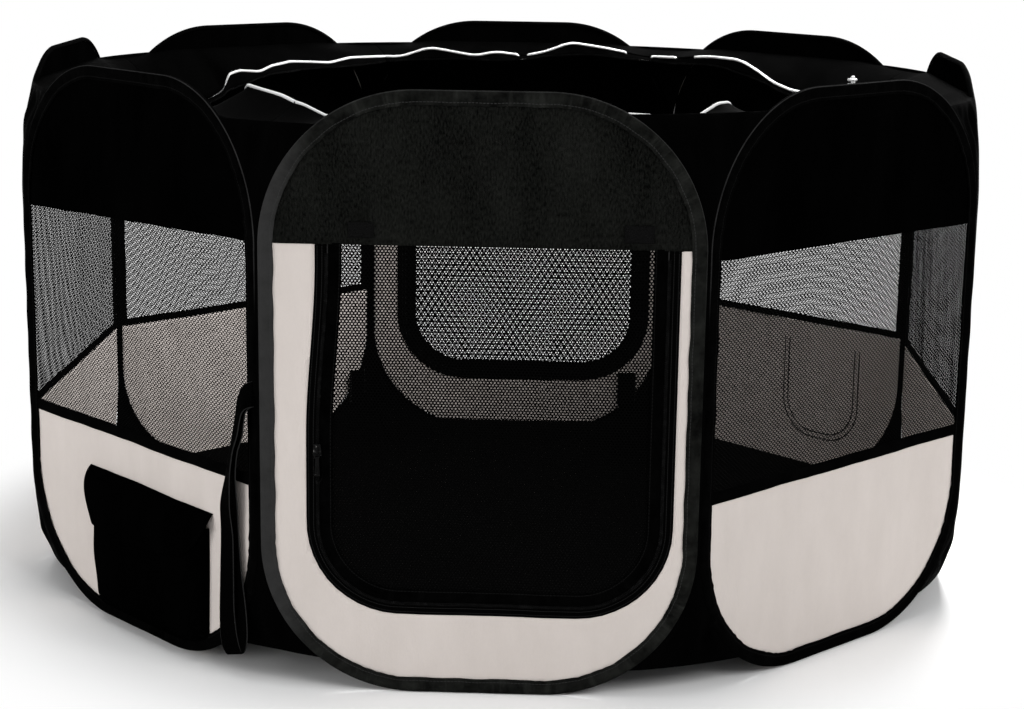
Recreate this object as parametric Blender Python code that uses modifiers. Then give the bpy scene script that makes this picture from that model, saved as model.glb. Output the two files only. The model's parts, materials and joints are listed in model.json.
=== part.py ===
"""Foldable puppy playpen: eight cloth panels on sprung wire loops, joined edge to edge in an octagon.

Metres, +Z up. The origin is on the ground at the middle of the pen, and the front door faces -Y.
A panel is modelled in its own frame: X along the wall, -Y outwards, Z up, with the middle of its
cloth at Y = 0, and is then set on its side of the octagon.
"""

import math

import bmesh
import bpy
from mathutils import Matrix, Vector

# Overall size
SIDES = 8
PANEL_PITCH = 0.418  # one side of the octagon, from hinge line to hinge line
PANEL_HEIGHT = 0.580
CORNER_RADIUS = 0.147  # the wire loop's corners, at the outside of the binding
CORNER_STEPS = 5
GAP = 0.0003  # clearance between touching pieces
SEAM_GAP = 0.0010  # from a panel's edge to its hinge line

# Wire loop, the tape bound over it, and the panel's cloth
WIRE_RADIUS = 0.00125
WIRE_CLEARANCE = 0.00035
TAPE = 0.0008
CLOTH = 0.0006
OUTER_LIP = 0.0145  # how far the binding reaches over the cloth outside
INNER_LIP = 0.0085  # and inside

# Seams across a panel
UPPER_CLOTH_DEPTH = 0.143
NET_BOTTOM = 0.200
SEAM_BAND = 0.011  # black tape over the seam between net and lower cloth

# Net gaps, drawn as large diamonds
NET_MARGIN = 0.022
NET_COLUMNS = 7
NET_ROWS = 4
NET_STRAND = 0.005

# Door: a black zone sewn into a light cloth surround
DOOR_SIDE = 0.034  # from the panel's edge to the door's zone, before its shift
DOOR_RADIUS = 0.090
DOOR_BOTTOM = 0.078
FRONT_DOOR_SHIFT = 0.010
BACK_DOOR_SHIFT = -0.009
DOOR_NET_ROWS = 6
DOOR_NET_COLUMNS = 6
LEAF_BORDER = 0.013  # cloth edge between the zip and the net
DOOR_HINGE_OUT = 0.0005  # the leaf turns about a line just outside the upper cloth

# Zip along the door's U
ZIP_TAPE = 0.0110  # from the surround to the middle of the chain
CHAIN_GAP = 0.0014
COIL_WIDTH = 0.0022
COIL_HEIGHT = 0.0010
COIL_BED = 0.0002  # the coil starts this far inside its tape
COIL_TOP_MARGIN = 0.012  # the coil stops this far under the door's top seam
SLIDER_HEIGHT = 0.240
SLIDER_WIDTH = 0.0085
SLIDER_LENGTH = 0.0110
SLIDER_WALL = 0.0010
SLIDER_NECK = 0.0060
EYE_HEIGHT = 0.0020  # how far the eye lifts the pull off the front plate
PULL_LENGTH = 0.0250
PULL_WIDTH = 0.0050
PULL_THICKNESS = 0.0012

# Hinge lines. Even corners close inwards when the pen is folded and odd corners open
HINGE_IN = 0.0035
HINGE_OUT = 0.0015

# Corner gussets, an hourglass of cloth behind each hinge line
GUSSET_TOP_DROP = 0.024
GUSSET_BOTTOM = 0.036
GUSSET_TUCK = 0.003  # how far it reaches behind the binding
LIMP_CLOTH = 0.0005

# Floor cloth: flat in the middle, drawn up to the gussets at its corners
FLOOR_FLAT_INSET = 0.075
FLOOR_THICKNESS = 0.0008
FLOOR_LOW = 0.0008
FLOOR_CORNER_DROP = 0.0030
FLOOR_CORNER_REACH = 0.075

# Inner flange round the top, which carries the cover's zip
FLANGE_WIDTH = 0.068
FLANGE_ROOT_DROP = 0.005
FLANGE_SAG = 0.018
FLANGE_CORNER_SAG = 0.010
FLANGE_THICKNESS = 0.0010

# Storage pocket and its flap, outside the front left panel
POCKET_LEFT = -0.098
POCKET_RIGHT = 0.120
POCKET_BOTTOM = 0.031
POCKET_TOP = 0.152
POCKET_DEPTH_TOP = 0.012
POCKET_DEPTH_BOTTOM = 0.018
POCKET_WALL = 0.0010
POCKET_ROUND = 0.008
POCKET_OPEN_FACE = 0.9  # faces that look up or back this squarely are left open
FLAP_OVERHANG = 0.007
FLAP_ROOT_RISE = 0.0075
FLAP_DROP = 0.044
FLAP_MOUTH_GAP = 0.0009  # between the pocket's mouth and the flap over it
FLAP_FLARE = 0.012
FLAP_STEPS = 8

# Bottle pocket, outside the back right panel
BOTTLE_CENTRE = -0.077
BOTTLE_WIDTH = 0.125
BOTTLE_BOTTOM = 0.050
BOTTLE_TOP = 0.178
BOTTLE_RADIUS = 0.050
BOTTLE_DEPTH_TOP = 0.022
BOTTLE_DEPTH_BOTTOM = 0.012
BOTTLE_RIM_SHARE = 1 / 3  # share of its depth over which its side stands square to the wall
BOTTLE_LIFT_SHARE = 0.5  # the bottom slopes up by this share of its depth

# Storage strap, hanging outside the corner between the front left panel and the front
STRAP_TOP = 0.292
STRAP_BOTTOM = 0.010
STRAP_ROOT = 0.205
STRAP_CENTRE = 0.172
STRAP_LOW_CENTRE = 0.166
STRAP_WIDTH = 0.025
STRAP_NECK = 0.011
STRAP_BEND_DROP = 0.0011  # how far the strap's upper edge falls on the way to its bend
STRAP_THICKNESS = 0.0026

# Webbing tabs on the inside, at the back of the floor
TAB_WIDTH = 0.027
TAB_BOTTOM = 0.037
TAB_TOP = 0.088
TAB_THICKNESS = 0.0012
BACK_TAB_CENTRE = -0.159
BACK_LEFT_TAB_CENTRE = -0.180

PANEL_NAMES = ("front", "front_right", "right", "back_right", "back", "back_left", "left", "front_left")
DOORS = {0: FRONT_DOOR_SHIFT, 4: BACK_DOOR_SHIFT}

# Worked out from the sizes above
APOTHEM = PANEL_PITCH / 2 / math.tan(math.pi / SIDES)
HALF_TURN = math.pi / SIDES  # half the turn from one panel to the next
HALF_WIDTH = PANEL_PITCH / 2 - SEAM_GAP
NET_TOP = PANEL_HEIGHT - UPPER_CLOTH_DEPTH
DOOR_HALF_WIDTH = HALF_WIDTH - DOOR_SIDE
GUSSET_TOP = PANEL_HEIGHT - GUSSET_TOP_DROP
WIRE_INSET = TAPE + WIRE_CLEARANCE + WIRE_RADIUS
SLOT = WIRE_INSET + WIRE_RADIUS + WIRE_CLEARANCE  # where the cloth's edge lies, in from the outside
BULGE = WIRE_RADIUS + 2 * WIRE_CLEARANCE + TAPE  # half the thickness of the binding over the wire
BEHIND = BULGE + GAP  # the first plane that is clear of the bindings, inside or outside
INSIDE = BEHIND + LIMP_CLOTH + GAP  # the first plane inside the gussets
STRAP_OUT = BEHIND + STRAP_THICKNESS / 2
MERGE = 0.00005  # points closer than this are one


def clear_scene():
    for obj in list(bpy.data.objects):
        bpy.data.objects.remove(obj, do_unlink=True)


def material(name, colour, roughness, metallic=0.0):
    made = bpy.data.materials.new(name)
    made.use_nodes = True
    shader = made.node_tree.nodes["Principled BSDF"]
    shader.inputs["Base Color"].default_value = (*colour, 1.0)
    shader.inputs["Roughness"].default_value = roughness
    shader.inputs["Metallic"].default_value = metallic
    made.diffuse_color = (*colour, 1.0)
    return made


def panel_matrix(index):
    """A panel's frame: X along the wall, -Y outwards."""
    angle = 2 * HALF_TURN * index
    outwards = Vector((math.sin(angle), -math.cos(angle), 0))
    return Matrix.Translation(outwards * APOTHEM) @ Matrix.Rotation(angle, 4, "Z")


def corner_matrix(index):
    """The frame of the corner between panel index and the next, with -Y out of the corner."""
    angle = 2 * HALF_TURN * (index + 0.5)
    outwards = Vector((math.sin(angle), -math.cos(angle), 0))
    return Matrix.Translation(outwards * APOTHEM / math.cos(HALF_TURN)) @ Matrix.Rotation(angle, 4, "Z")


def hinge_point(index):
    """Where the hinge axis of a corner stands. Its offset lets the two panels fold flat."""
    offset = -HINGE_IN if index % 2 == 0 else HINGE_OUT
    angle = 2 * HALF_TURN * (index + 0.5)
    outwards = Vector((math.sin(angle), -math.cos(angle), 0))
    return outwards * (APOTHEM + offset) / math.cos(HALF_TURN)


def hinge_corner(index):
    """The corner that joins a panel to the one that carries it, counting out both ways from the front."""
    return index - 1 if index <= SIDES // 2 else index % SIDES


def pivot(name, matrix, parent=None):
    """An empty on a joint's axis. Returns it with its world matrix."""
    empty = bpy.data.objects.new(name, None)
    PEN.objects.link(empty)
    empty.empty_display_size = 0.05
    if parent:
        empty.parent = parent[0]
        empty.matrix_basis = parent[1].inverted() @ matrix
    else:
        empty.matrix_basis = matrix
    return empty, matrix


def keep(name, data, mat, carrier, matrix):
    """Adds a piece with its own material, hung from the empty that carries it."""
    obj = bpy.data.objects.new(name, data)
    PEN.objects.link(obj)
    data.name = name
    data.materials.clear()
    data.materials.append(mat)
    obj.parent = carrier[0]
    obj.matrix_basis = carrier[1].inverted() @ matrix
    return obj


def arc(centre, radius, start, end, steps=CORNER_STEPS):
    """Points along an arc, from start to end in degrees."""
    turns = [math.radians(start + (end - start) * i / steps) for i in range(steps + 1)]
    return [(centre[0] + radius * math.cos(t), centre[1] + radius * math.sin(t)) for t in turns]


def loop_outline(inset):
    """The panel's rounded outline, clockwise from the top left, drawn in from the outside."""
    half, radius = HALF_WIDTH - inset, CORNER_RADIUS - inset
    left, right = -half + radius, half - radius
    low, high = CORNER_RADIUS, PANEL_HEIGHT - CORNER_RADIUS
    return (
        arc((left, high), radius, 180, 90)
        + arc((right, high), radius, 90, 0)
        + arc((right, low), radius, 0, -90)
        + arc((left, low), radius, -90, -180)
    )


def above(points, height):
    """The part of an outline over a level cut."""
    return cut(points, height, 1)


def below(points, height):
    """The part of an outline under a level cut."""
    return cut(points, height, -1)


def cut(points, height, side):
    kept = []
    for here, there in zip(points, points[1:] + points[:1]):
        inside, next_inside = (here[1] - height) * side > 0, (there[1] - height) * side > 0
        if inside:
            kept.append(here)
        if inside != next_inside:
            share = (height - here[1]) / (there[1] - here[1])
            kept.append((here[0] + (there[0] - here[0]) * share, height))
    return kept


def door_path(inset, shift, top):
    """The door's U, clockwise from the top right, drawn in from the edge of its zone."""
    half, radius = DOOR_HALF_WIDTH - inset, DOOR_RADIUS - inset
    level = DOOR_BOTTOM + DOOR_RADIUS
    right = arc((shift + half - radius, level), radius, 0, -90)
    left = arc((shift - half + radius, level), radius, -90, -180)
    return [(shift + half, top)] + right + left + [(shift - half, top)]


def polyline(name, outlines, cyclic=True, flat=False):
    curve = bpy.data.curves.new(name, "CURVE")
    curve.dimensions = "2D" if flat else "3D"
    for outline in outlines:
        spline = curve.splines.new("POLY")
        spline.points.add(len(outline) - 1)
        for point, place in zip(spline.points, outline):
            point.co = (place[0], place[1], 0, 1)
        spline.use_cyclic_u = cyclic
    return curve


UPRIGHT = Matrix.Rotation(math.radians(90), 4, "X")


def flat_cloth(name, outlines, thickness, mat, carrier, matrix, out=0.0):
    """A flat piece cut to an outline, with any further outlines as holes, standing in the panel."""
    curve = polyline(name, outlines, flat=True)
    curve.fill_mode = "BOTH"
    curve.extrude = thickness / 2
    return keep(name, curve, mat, carrier, matrix @ Matrix.Translation((0, -out, 0)) @ UPRIGHT)


def swept(name, path, section, mat, carrier, matrix, cyclic=True):
    """A section swept along a path in the panel. The section's X runs inwards and its Y outwards."""
    guide = bpy.data.objects.new(name + "_section", polyline(name + "_section", [section]))
    CUTTERS.objects.link(guide)
    guide.hide_render = True
    guide.display_type = "WIRE"
    curve = polyline(name, [path], cyclic)
    curve.bevel_mode = "OBJECT"
    curve.bevel_object = guide
    curve.use_fill_caps = True
    return keep(name, curve, mat, carrier, matrix @ UPRIGHT)


def as_mesh(obj):
    """Makes a curve object a mesh, with its caps welded and its fill made even."""
    bpy.context.view_layer.update()
    graph = bpy.context.evaluated_depsgraph_get()
    mesh = bpy.data.meshes.new_from_object(obj.evaluated_get(graph))
    bm = bmesh.new()
    bm.from_mesh(mesh)
    bmesh.ops.remove_doubles(bm, verts=bm.verts, dist=MERGE)
    bmesh.ops.beautify_fill(bm, faces=bm.faces, edges=bm.edges)
    bmesh.ops.recalc_face_normals(bm, faces=bm.faces)
    bm.to_mesh(mesh)
    bm.free()
    name, mat, parent, basis = obj.name, obj.data.materials[0], obj.parent, obj.matrix_basis.copy()
    bpy.data.objects.remove(obj)
    made = bpy.data.objects.new(name, mesh)
    PEN.objects.link(made)
    mesh.name = name
    mesh.materials.clear()
    mesh.materials.append(mat)
    made.parent = parent
    made.matrix_basis = basis
    return made


def join_to(obj, helper):
    """Adds a helper's shape to a piece by a Boolean union."""
    PEN.objects.unlink(helper)
    CUTTERS.objects.link(helper)
    helper.hide_render = True
    helper.display_type = "WIRE"
    union = obj.modifiers.new("join_" + helper.name, "BOOLEAN")
    union.operation = "UNION"
    union.solver = "EXACT"
    union.object = helper


def box_mesh(name, low, high):
    """A box between two corners."""
    mesh = bpy.data.meshes.new(name)
    bm = bmesh.new()
    bmesh.ops.create_cube(bm, size=1.0)
    for vert in bm.verts:
        for axis in range(3):
            vert.co[axis] = (low[axis] + high[axis]) / 2 + vert.co[axis] * (high[axis] - low[axis])
    bm.to_mesh(mesh)
    bm.free()
    return mesh


def solidify(obj, thickness, offset):
    shell = obj.modifiers.new("cloth_thickness", "SOLIDIFY")
    shell.thickness = thickness
    shell.offset = offset
    shell.use_even_offset = True


def mesh_from(name, bm):
    mesh = bpy.data.meshes.new(name)
    bmesh.ops.recalc_face_normals(bm, faces=bm.faces)
    bm.to_mesh(mesh)
    bm.free()
    return mesh


def ringed_sheet(name, rings):
    """A sheet lofted through closed rings of points, each ring with as many points as the next."""
    bm = bmesh.new()
    loops = [[bm.verts.new(place) for place in ring] for ring in rings]
    for inner, outer in zip(loops, loops[1:]):
        for i in range(len(inner)):
            j = (i + 1) % len(inner)
            bm.faces.new((inner[i], inner[j], outer[j], outer[i]))
    return bm, loops


def add_wire(index, carrier, matrix):
    """The sprung steel loop inside the binding."""
    name = PANEL_NAMES[index] + "_wire"
    curve = polyline(name, [loop_outline(WIRE_INSET)])
    curve.bevel_depth = WIRE_RADIUS
    curve.bevel_resolution = 1
    keep(name, curve, STEEL, carrier, matrix @ UPRIGHT)


def binding_section():
    """A tape folded round the wire, with a wide lip outside and a narrow one inside."""
    mouth = CLOTH / 2 + GAP
    pocket = WIRE_RADIUS + 2 * WIRE_CLEARANCE
    edge = WIRE_RADIUS + WIRE_CLEARANCE
    return [
        (SLOT, pocket),
        (TAPE, WIRE_RADIUS),
        (TAPE, -WIRE_RADIUS),
        (SLOT, -pocket),
        (INNER_LIP, -mouth),
        (INNER_LIP, -mouth - TAPE),
        (SLOT, -BULGE),
        (0, -edge),
        (0, edge),
        (SLOT, BULGE),
        (OUTER_LIP, mouth + TAPE),
        (OUTER_LIP, mouth),
    ]


def add_binding(index, carrier, matrix):
    swept(PANEL_NAMES[index] + "_binding", loop_outline(0), binding_section(), BINDING, carrier, matrix)


def add_upper_cloth(index, carrier, matrix):
    outline = above(loop_outline(SLOT), NET_TOP + GAP / 2)
    flat_cloth(PANEL_NAMES[index] + "_upper_cloth", [outline], CLOTH, BLACK_CLOTH, carrier, matrix)


def diamonds(left, right, bottom, top, columns, rows, fits=lambda corner: True):
    """Staggered rows of diamond gaps with even strands between them, left out where a corner doesn't fit."""
    across, up = (right - left) / columns / 2, (top - bottom) / (rows + 1)
    shrink = 1 - NET_STRAND / 2 * math.hypot(across, up) / (across * up)
    gap_across, gap_up = across * shrink, up * shrink
    found = []
    for row in range(rows):
        for column in range(columns - row % 2):
            x = left + across * (1 + row % 2 + 2 * column)
            z = bottom + up * (row + 1)
            corners = [(x - gap_across, z), (x, z + gap_up), (x + gap_across, z), (x, z - gap_up)]
            if all(fits(corner) for corner in corners):
                found.append(corners)
    return found


def add_net_window(index, carrier, matrix):
    """Net from the upper cloth down to the lower cloth, with the seam tape along its foot."""
    half = HALF_WIDTH - SLOT
    bottom, top = NET_BOTTOM + GAP / 2, NET_TOP - GAP / 2
    outline = below(above(loop_outline(SLOT), bottom), top)
    side = half - NET_MARGIN
    gaps = diamonds(-side, side, bottom + SEAM_BAND, top, NET_COLUMNS, NET_ROWS)
    name = PANEL_NAMES[index] + "_net_window"
    flat_cloth(name, [outline] + gaps, CLOTH, NET, carrier, matrix)


def add_lower_cloth(index, carrier, matrix):
    outline = below(loop_outline(SLOT), NET_BOTTOM - GAP / 2)
    flat_cloth(PANEL_NAMES[index] + "_lower_cloth", [outline], CLOTH, LIGHT_CLOTH, carrier, matrix)


def add_door_surround(index, carrier, matrix, shift):
    """Light cloth all round the door, a U with an even border at its foot."""
    top = NET_TOP - GAP / 2
    outside = below(loop_outline(SLOT), top)
    right = max(range(len(outside)), key=lambda i: (outside[i][1], outside[i][0]))
    outside = outside[right:] + outside[:right]
    inside = door_path(0, shift, top)
    outline = outside + inside[::-1]
    flat_cloth(PANEL_NAMES[index] + "_door_surround", [outline], CLOTH, LIGHT_CLOTH, carrier, matrix)


def add_zip_tape(index, carrier, matrix, shift):
    """The zip's fixed side: tape against the surround, with its half of the coil on the edge."""
    skin, edge = CLOTH / 2, ZIP_TAPE - CHAIN_GAP / 2
    section = [
        (GAP, skin),
        (edge - COIL_WIDTH, skin),
        (edge - COIL_WIDTH, skin + COIL_HEIGHT),
        (edge, skin + COIL_HEIGHT),
        (edge, -skin),
        (GAP, -skin),
    ]
    path = door_path(0, shift, NET_TOP - GAP / 2)
    swept(PANEL_NAMES[index] + "_zip_tape", path, section, ZIP_BLACK, carrier, matrix, cyclic=False)


def add_door_leaf(index, hinge, matrix, shift):
    """The door: net with a cloth border, and the moving half of the coil along its edge."""
    name = PANEL_NAMES[index] + "_door_leaf"
    inset = ZIP_TAPE + CHAIN_GAP / 2
    top = NET_TOP - GAP / 2
    outline = door_path(inset, shift, top)
    half, radius = DOOR_HALF_WIDTH - inset - LEAF_BORDER, DOOR_RADIUS - inset - LEAF_BORDER
    low = DOOR_BOTTOM + inset + LEAF_BORDER

    def fits(point):
        sideways, down = abs(point[0] - shift) - (half - radius), low + radius - point[1]
        return sideways <= 0 or down <= 0 or math.hypot(sideways, down) <= radius

    gaps = diamonds(shift - half, shift + half, low, top, DOOR_NET_COLUMNS, DOOR_NET_ROWS, fits)
    leaf = as_mesh(flat_cloth(name, [outline] + gaps, CLOTH, NET, hinge, matrix))
    section = [
        (GAP, CLOTH / 2 - COIL_BED),
        (GAP, CLOTH / 2 + COIL_HEIGHT),
        (COIL_WIDTH, CLOTH / 2 + COIL_HEIGHT),
        (COIL_WIDTH, CLOTH / 2 - COIL_BED),
    ]
    path = door_path(inset, shift, top - COIL_TOP_MARGIN)
    coil = as_mesh(swept(name + "_coil", path, section, NET, hinge, matrix, cyclic=False))
    join_to(leaf, coil)


def add_zip_slider(index, hinge, matrix, shift):
    """Slider on the left leg of the zip, with its pull hanging from the front plate."""
    name = PANEL_NAMES[index] + "_zip_slider"
    line = shift - DOOR_HALF_WIDTH + ZIP_TAPE
    front = -(CLOTH / 2 + COIL_HEIGHT + GAP)
    rear = CLOTH / 2 + GAP
    low, high = SLIDER_HEIGHT - SLIDER_LENGTH / 2, SLIDER_HEIGHT + SLIDER_LENGTH / 2
    neck = CHAIN_GAP / 2 - GAP
    lap = SLIDER_WALL / 4
    face = front - SLIDER_WALL
    hang = face - EYE_HEIGHT + lap
    half, half_pull, half_eye = SLIDER_WIDTH / 2, PULL_WIDTH / 2, PULL_WIDTH / 4
    plate = box_mesh(name, (line - half, face, low), (line + half, front, high))
    slider = keep(name, plate, ZIP_METAL, hinge, matrix)
    parts = {
        "neck": ((line - neck, front - lap, high - SLIDER_NECK - lap), (line + neck, rear + lap, high - lap)),
        "rear": ((line - neck, rear, low), (line + half, rear + SLIDER_WALL, high)),
        "eye": (
            (line - half_eye, face - EYE_HEIGHT, SLIDER_HEIGHT - half_pull),
            (line + half_eye, face + lap, SLIDER_HEIGHT + half_pull),
        ),
        "pull": (
            (line - half_pull, hang - PULL_THICKNESS, SLIDER_HEIGHT - PULL_LENGTH),
            (line + half_pull, hang, SLIDER_HEIGHT + half_pull - lap),
        ),
    }
    for part, (corner, opposite) in parts.items():
        helper = keep(name + "_" + part, box_mesh(part, corner, opposite), ZIP_METAL, hinge, matrix)
        join_to(slider, helper)


def add_gusset(index, carrier):
    """Hourglass of black cloth inside a corner, its halves bent to lie behind the two panels."""
    name = PANEL_NAMES[index] + "_corner_gusset"

    def side(height):
        depth = max(CORNER_RADIUS - height, height - (PANEL_HEIGHT - CORNER_RADIUS), 0)
        return SEAM_GAP + GUSSET_TUCK + CORNER_RADIUS - math.sqrt(CORNER_RADIUS**2 - depth**2)

    steps = CORNER_STEPS
    foot, head = CORNER_RADIUS, PANEL_HEIGHT - CORNER_RADIUS
    heights = [GUSSET_BOTTOM + (foot - GUSSET_BOTTOM) * i / steps for i in range(steps + 1)]
    heights += [head + (GUSSET_TOP - head) * i / steps for i in range(steps + 1)]
    past = -BEHIND
    outline = [(past, GUSSET_TOP), (past, GUSSET_BOTTOM)] + [(side(z), z) for z in heights]
    turn = Matrix.Rotation(HALF_TURN, 4, "Z")
    frame = corner_matrix(index)
    lay = Matrix.Translation((0, BEHIND + LIMP_CLOTH / 2, 0))
    half = as_mesh(flat_cloth(name, [outline], LIMP_CLOTH, BLACK_CLOTH, carrier, frame))
    half.data.transform(turn @ lay @ UPRIGHT)
    half.matrix_basis = carrier[1].inverted() @ frame
    mirror = half.modifiers.new("other_half", "MIRROR")
    mirror.use_axis[0] = True
    mirror.use_bisect_axis[0] = True
    mirror.merge_threshold = MERGE


def floor_height(across):
    """How high the floor's edge is drawn, at a place across a panel."""
    half, radius = HALF_WIDTH, CORNER_RADIUS
    sideways = max(abs(across) - (half - radius), 0)
    rise = radius - math.sqrt(max(radius**2 - min(sideways, radius) ** 2, 0))
    return min(FLOOR_LOW + rise, GUSSET_BOTTOM - FLOOR_CORNER_DROP)


def add_floor(carrier):
    """The floor cloth, sewn to the foot of the wall all round."""
    corner = PANEL_PITCH / 2 - INSIDE * math.tan(HALF_TURN)
    stops = [-corner, -corner + FLOOR_CORNER_REACH / 2, -corner + FLOOR_CORNER_REACH]
    stops += [corner - FLOOR_CORNER_REACH, corner - FLOOR_CORNER_REACH / 2]
    edge, hem = [], []
    inner = (APOTHEM - FLOOR_FLAT_INSET) / (APOTHEM - INSIDE)
    for index in range(SIDES):
        matrix = panel_matrix(index)
        for across in stops:
            place = matrix @ Vector((across, INSIDE, floor_height(across)))
            edge.append(place)
            hem.append(Vector((place.x * inner, place.y * inner, FLOOR_LOW)))
    bm, loops = ringed_sheet("floor", [hem, edge])
    bm.faces.new(loops[0][::-1])
    floor = keep("floor_cloth", mesh_from("floor_cloth", bm), BLACK_CLOTH, carrier, Matrix())
    solidify(floor, FLOOR_THICKNESS, 1.0)


def add_flange(carrier):
    """The limp strip sewn inside the top edge, sagging between the corners."""
    corner = PANEL_PITCH / 2 - INSIDE * math.tan(HALF_TURN)
    root, free = [], []
    shrink = (APOTHEM - INSIDE - FLANGE_WIDTH) / (APOTHEM - INSIDE)
    height = GUSSET_TOP - FLANGE_ROOT_DROP
    for index in range(SIDES):
        matrix = panel_matrix(index)
        for step in range(4):
            across = corner * (step / 2 - 1)
            place = matrix @ Vector((across, INSIDE, height))
            hang = math.cos(math.pi / 2 * across / corner)
            sag = FLANGE_CORNER_SAG + (FLANGE_SAG - FLANGE_CORNER_SAG) * hang
            root.append(place)
            free.append(Vector((place.x * shrink, place.y * shrink, height - sag)))
    bm, _ = ringed_sheet("flange", [free, root])
    flange = keep("top_flange", mesh_from("top_flange", bm), BLACK_CLOTH, carrier, Matrix())
    solidify(flange, FLANGE_THICKNESS, 0.0)


def add_pocket(carrier, matrix):
    """Patch pocket with gathered sides, open at its mouth and backed by the lower cloth."""
    back = -(CLOTH / 2 + GAP)
    bm = bmesh.new()
    bmesh.ops.create_cube(bm, size=1.0)
    for vert in bm.verts:
        top = vert.co.z > 0
        depth = POCKET_DEPTH_TOP if top else POCKET_DEPTH_BOTTOM
        x = POCKET_RIGHT if vert.co.x > 0 else POCKET_LEFT
        y = back if vert.co.y > 0 else back - depth
        vert.co = (x, y, POCKET_TOP if top else POCKET_BOTTOM)
    open_faces = [face for face in bm.faces if max(face.normal.z, face.normal.y) > POCKET_OPEN_FACE]
    bmesh.ops.delete(bm, geom=open_faces, context="FACES_ONLY")
    corners = [
        edge
        for edge in bm.edges
        if all(vert.co.y < back - POCKET_WALL for vert in edge.verts)
        and (edge.verts[0].co - edge.verts[1].co).x == 0
    ]
    bmesh.ops.bevel(bm, geom=corners, offset=POCKET_ROUND, segments=2, profile=0.5, affect="EDGES")
    pocket = keep("storage_pocket", mesh_from("storage_pocket", bm), BLACK_CLOTH, carrier, matrix)
    solidify(pocket, POCKET_WALL, -1.0)


def add_pocket_flap(carrier, matrix):
    """Flap over the pocket's mouth. Its lower corners curl out from the pocket."""
    back = CLOTH / 2 + GAP + POCKET_WALL / 2
    front = back + POCKET_DEPTH_TOP + 2 * GAP + POCKET_WALL
    root = POCKET_TOP + FLAP_ROOT_RISE
    slope = (POCKET_DEPTH_BOTTOM - POCKET_DEPTH_TOP) / (POCKET_TOP - POCKET_BOTTOM)
    section = [
        (back, root),
        (front - POCKET_WALL, POCKET_TOP + POCKET_WALL + FLAP_MOUTH_GAP),
        (front, POCKET_TOP - POCKET_WALL),
        (front + slope * FLAP_DROP / 2, POCKET_TOP - FLAP_DROP / 2),
        (front + slope * FLAP_DROP, POCKET_TOP - FLAP_DROP),
    ]
    left, right = POCKET_LEFT - FLAP_OVERHANG, POCKET_RIGHT + FLAP_OVERHANG
    bm = bmesh.new()
    columns = []
    for step in range(FLAP_STEPS + 1):
        share = 2 * step / FLAP_STEPS - 1
        x = left + (right - left) * step / FLAP_STEPS
        column = []
        for row, (out, z) in enumerate(section):
            curl = FLAP_FLARE * abs(share) ** 3 * max(row - 2, 0) / 2
            column.append(bm.verts.new((x, -out - curl, z)))
        columns.append(column)
    for here, there in zip(columns, columns[1:]):
        for row in range(len(section) - 1):
            bm.faces.new((here[row], there[row], there[row + 1], here[row + 1]))
    flap = keep("pocket_flap", mesh_from("pocket_flap", bm), BLACK_CLOTH, carrier, matrix)
    solidify(flap, POCKET_WALL, 0.0)


def add_bottle_pocket(carrier, matrix):
    """Rounded patch pocket, deepest at its mouth, backed by the lower cloth."""
    back = -(CLOTH / 2 + GAP)
    half = BOTTLE_WIDTH / 2
    level = BOTTLE_BOTTOM + BOTTLE_RADIUS
    outline = [(BOTTLE_CENTRE + half, BOTTLE_TOP)]
    outline += arc((BOTTLE_CENTRE + half - BOTTLE_RADIUS, level), BOTTLE_RADIUS, 0, -90)
    outline += arc((BOTTLE_CENTRE - half + BOTTLE_RADIUS, level), BOTTLE_RADIUS, -90, -180)
    outline += [(BOTTLE_CENTRE - half, BOTTLE_TOP)]
    bm = bmesh.new()
    sides = []
    for x, z in outline:
        share = (z - BOTTLE_BOTTOM) / (BOTTLE_TOP - BOTTLE_BOTTOM)
        depth = BOTTLE_DEPTH_BOTTOM + (BOTTLE_DEPTH_TOP - BOTTLE_DEPTH_BOTTOM) * share
        drawn = BOTTLE_CENTRE + (x - BOTTLE_CENTRE) * (1 - depth / BOTTLE_WIDTH)
        lifted = z + (depth * BOTTLE_LIFT_SHARE if z < level else 0)
        places = (x, back, z), (x, back - depth * BOTTLE_RIM_SHARE, z), (drawn, back - depth, lifted)
        sides.append([bm.verts.new(place) for place in places])
    for here, there in zip(sides, sides[1:]):
        for near, far in ((0, 1), (1, 2)):
            bm.faces.new((here[near], there[near], there[far], here[far]))
    bm.faces.new([side[2] for side in sides])
    bmesh.ops.triangulate(bm, faces=bm.faces[-1:])
    pocket = keep("bottle_pocket", mesh_from("bottle_pocket", bm), BLACK_CLOTH, carrier, matrix)
    solidify(pocket, POCKET_WALL, -1.0)


def add_strap(carrier, matrix):
    """Doubled webbing, sewn in at the corner seam, that ties the folded pen."""
    half, neck = STRAP_WIDTH / 2, STRAP_NECK / 2
    middle = (STRAP_TOP + STRAP_BOTTOM) / 2
    outline = [
        (STRAP_ROOT, STRAP_TOP),
        (STRAP_ROOT, STRAP_TOP + STRAP_NECK),
        (STRAP_CENTRE + neck, STRAP_TOP + STRAP_NECK - STRAP_BEND_DROP),
        (STRAP_CENTRE - neck, STRAP_TOP),
        (STRAP_CENTRE - neck, middle),
        (STRAP_LOW_CENTRE - half, STRAP_BOTTOM + STRAP_WIDTH),
        (STRAP_LOW_CENTRE - half, STRAP_BOTTOM),
        (STRAP_LOW_CENTRE + half, STRAP_BOTTOM),
        (STRAP_LOW_CENTRE + half, STRAP_BOTTOM + STRAP_WIDTH),
        (STRAP_CENTRE + neck, middle),
        (STRAP_CENTRE + neck, STRAP_TOP - STRAP_NECK),
    ]
    flat_cloth("storage_strap", [outline[::-1]], STRAP_THICKNESS, WEBBING, carrier, matrix, STRAP_OUT)


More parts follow.
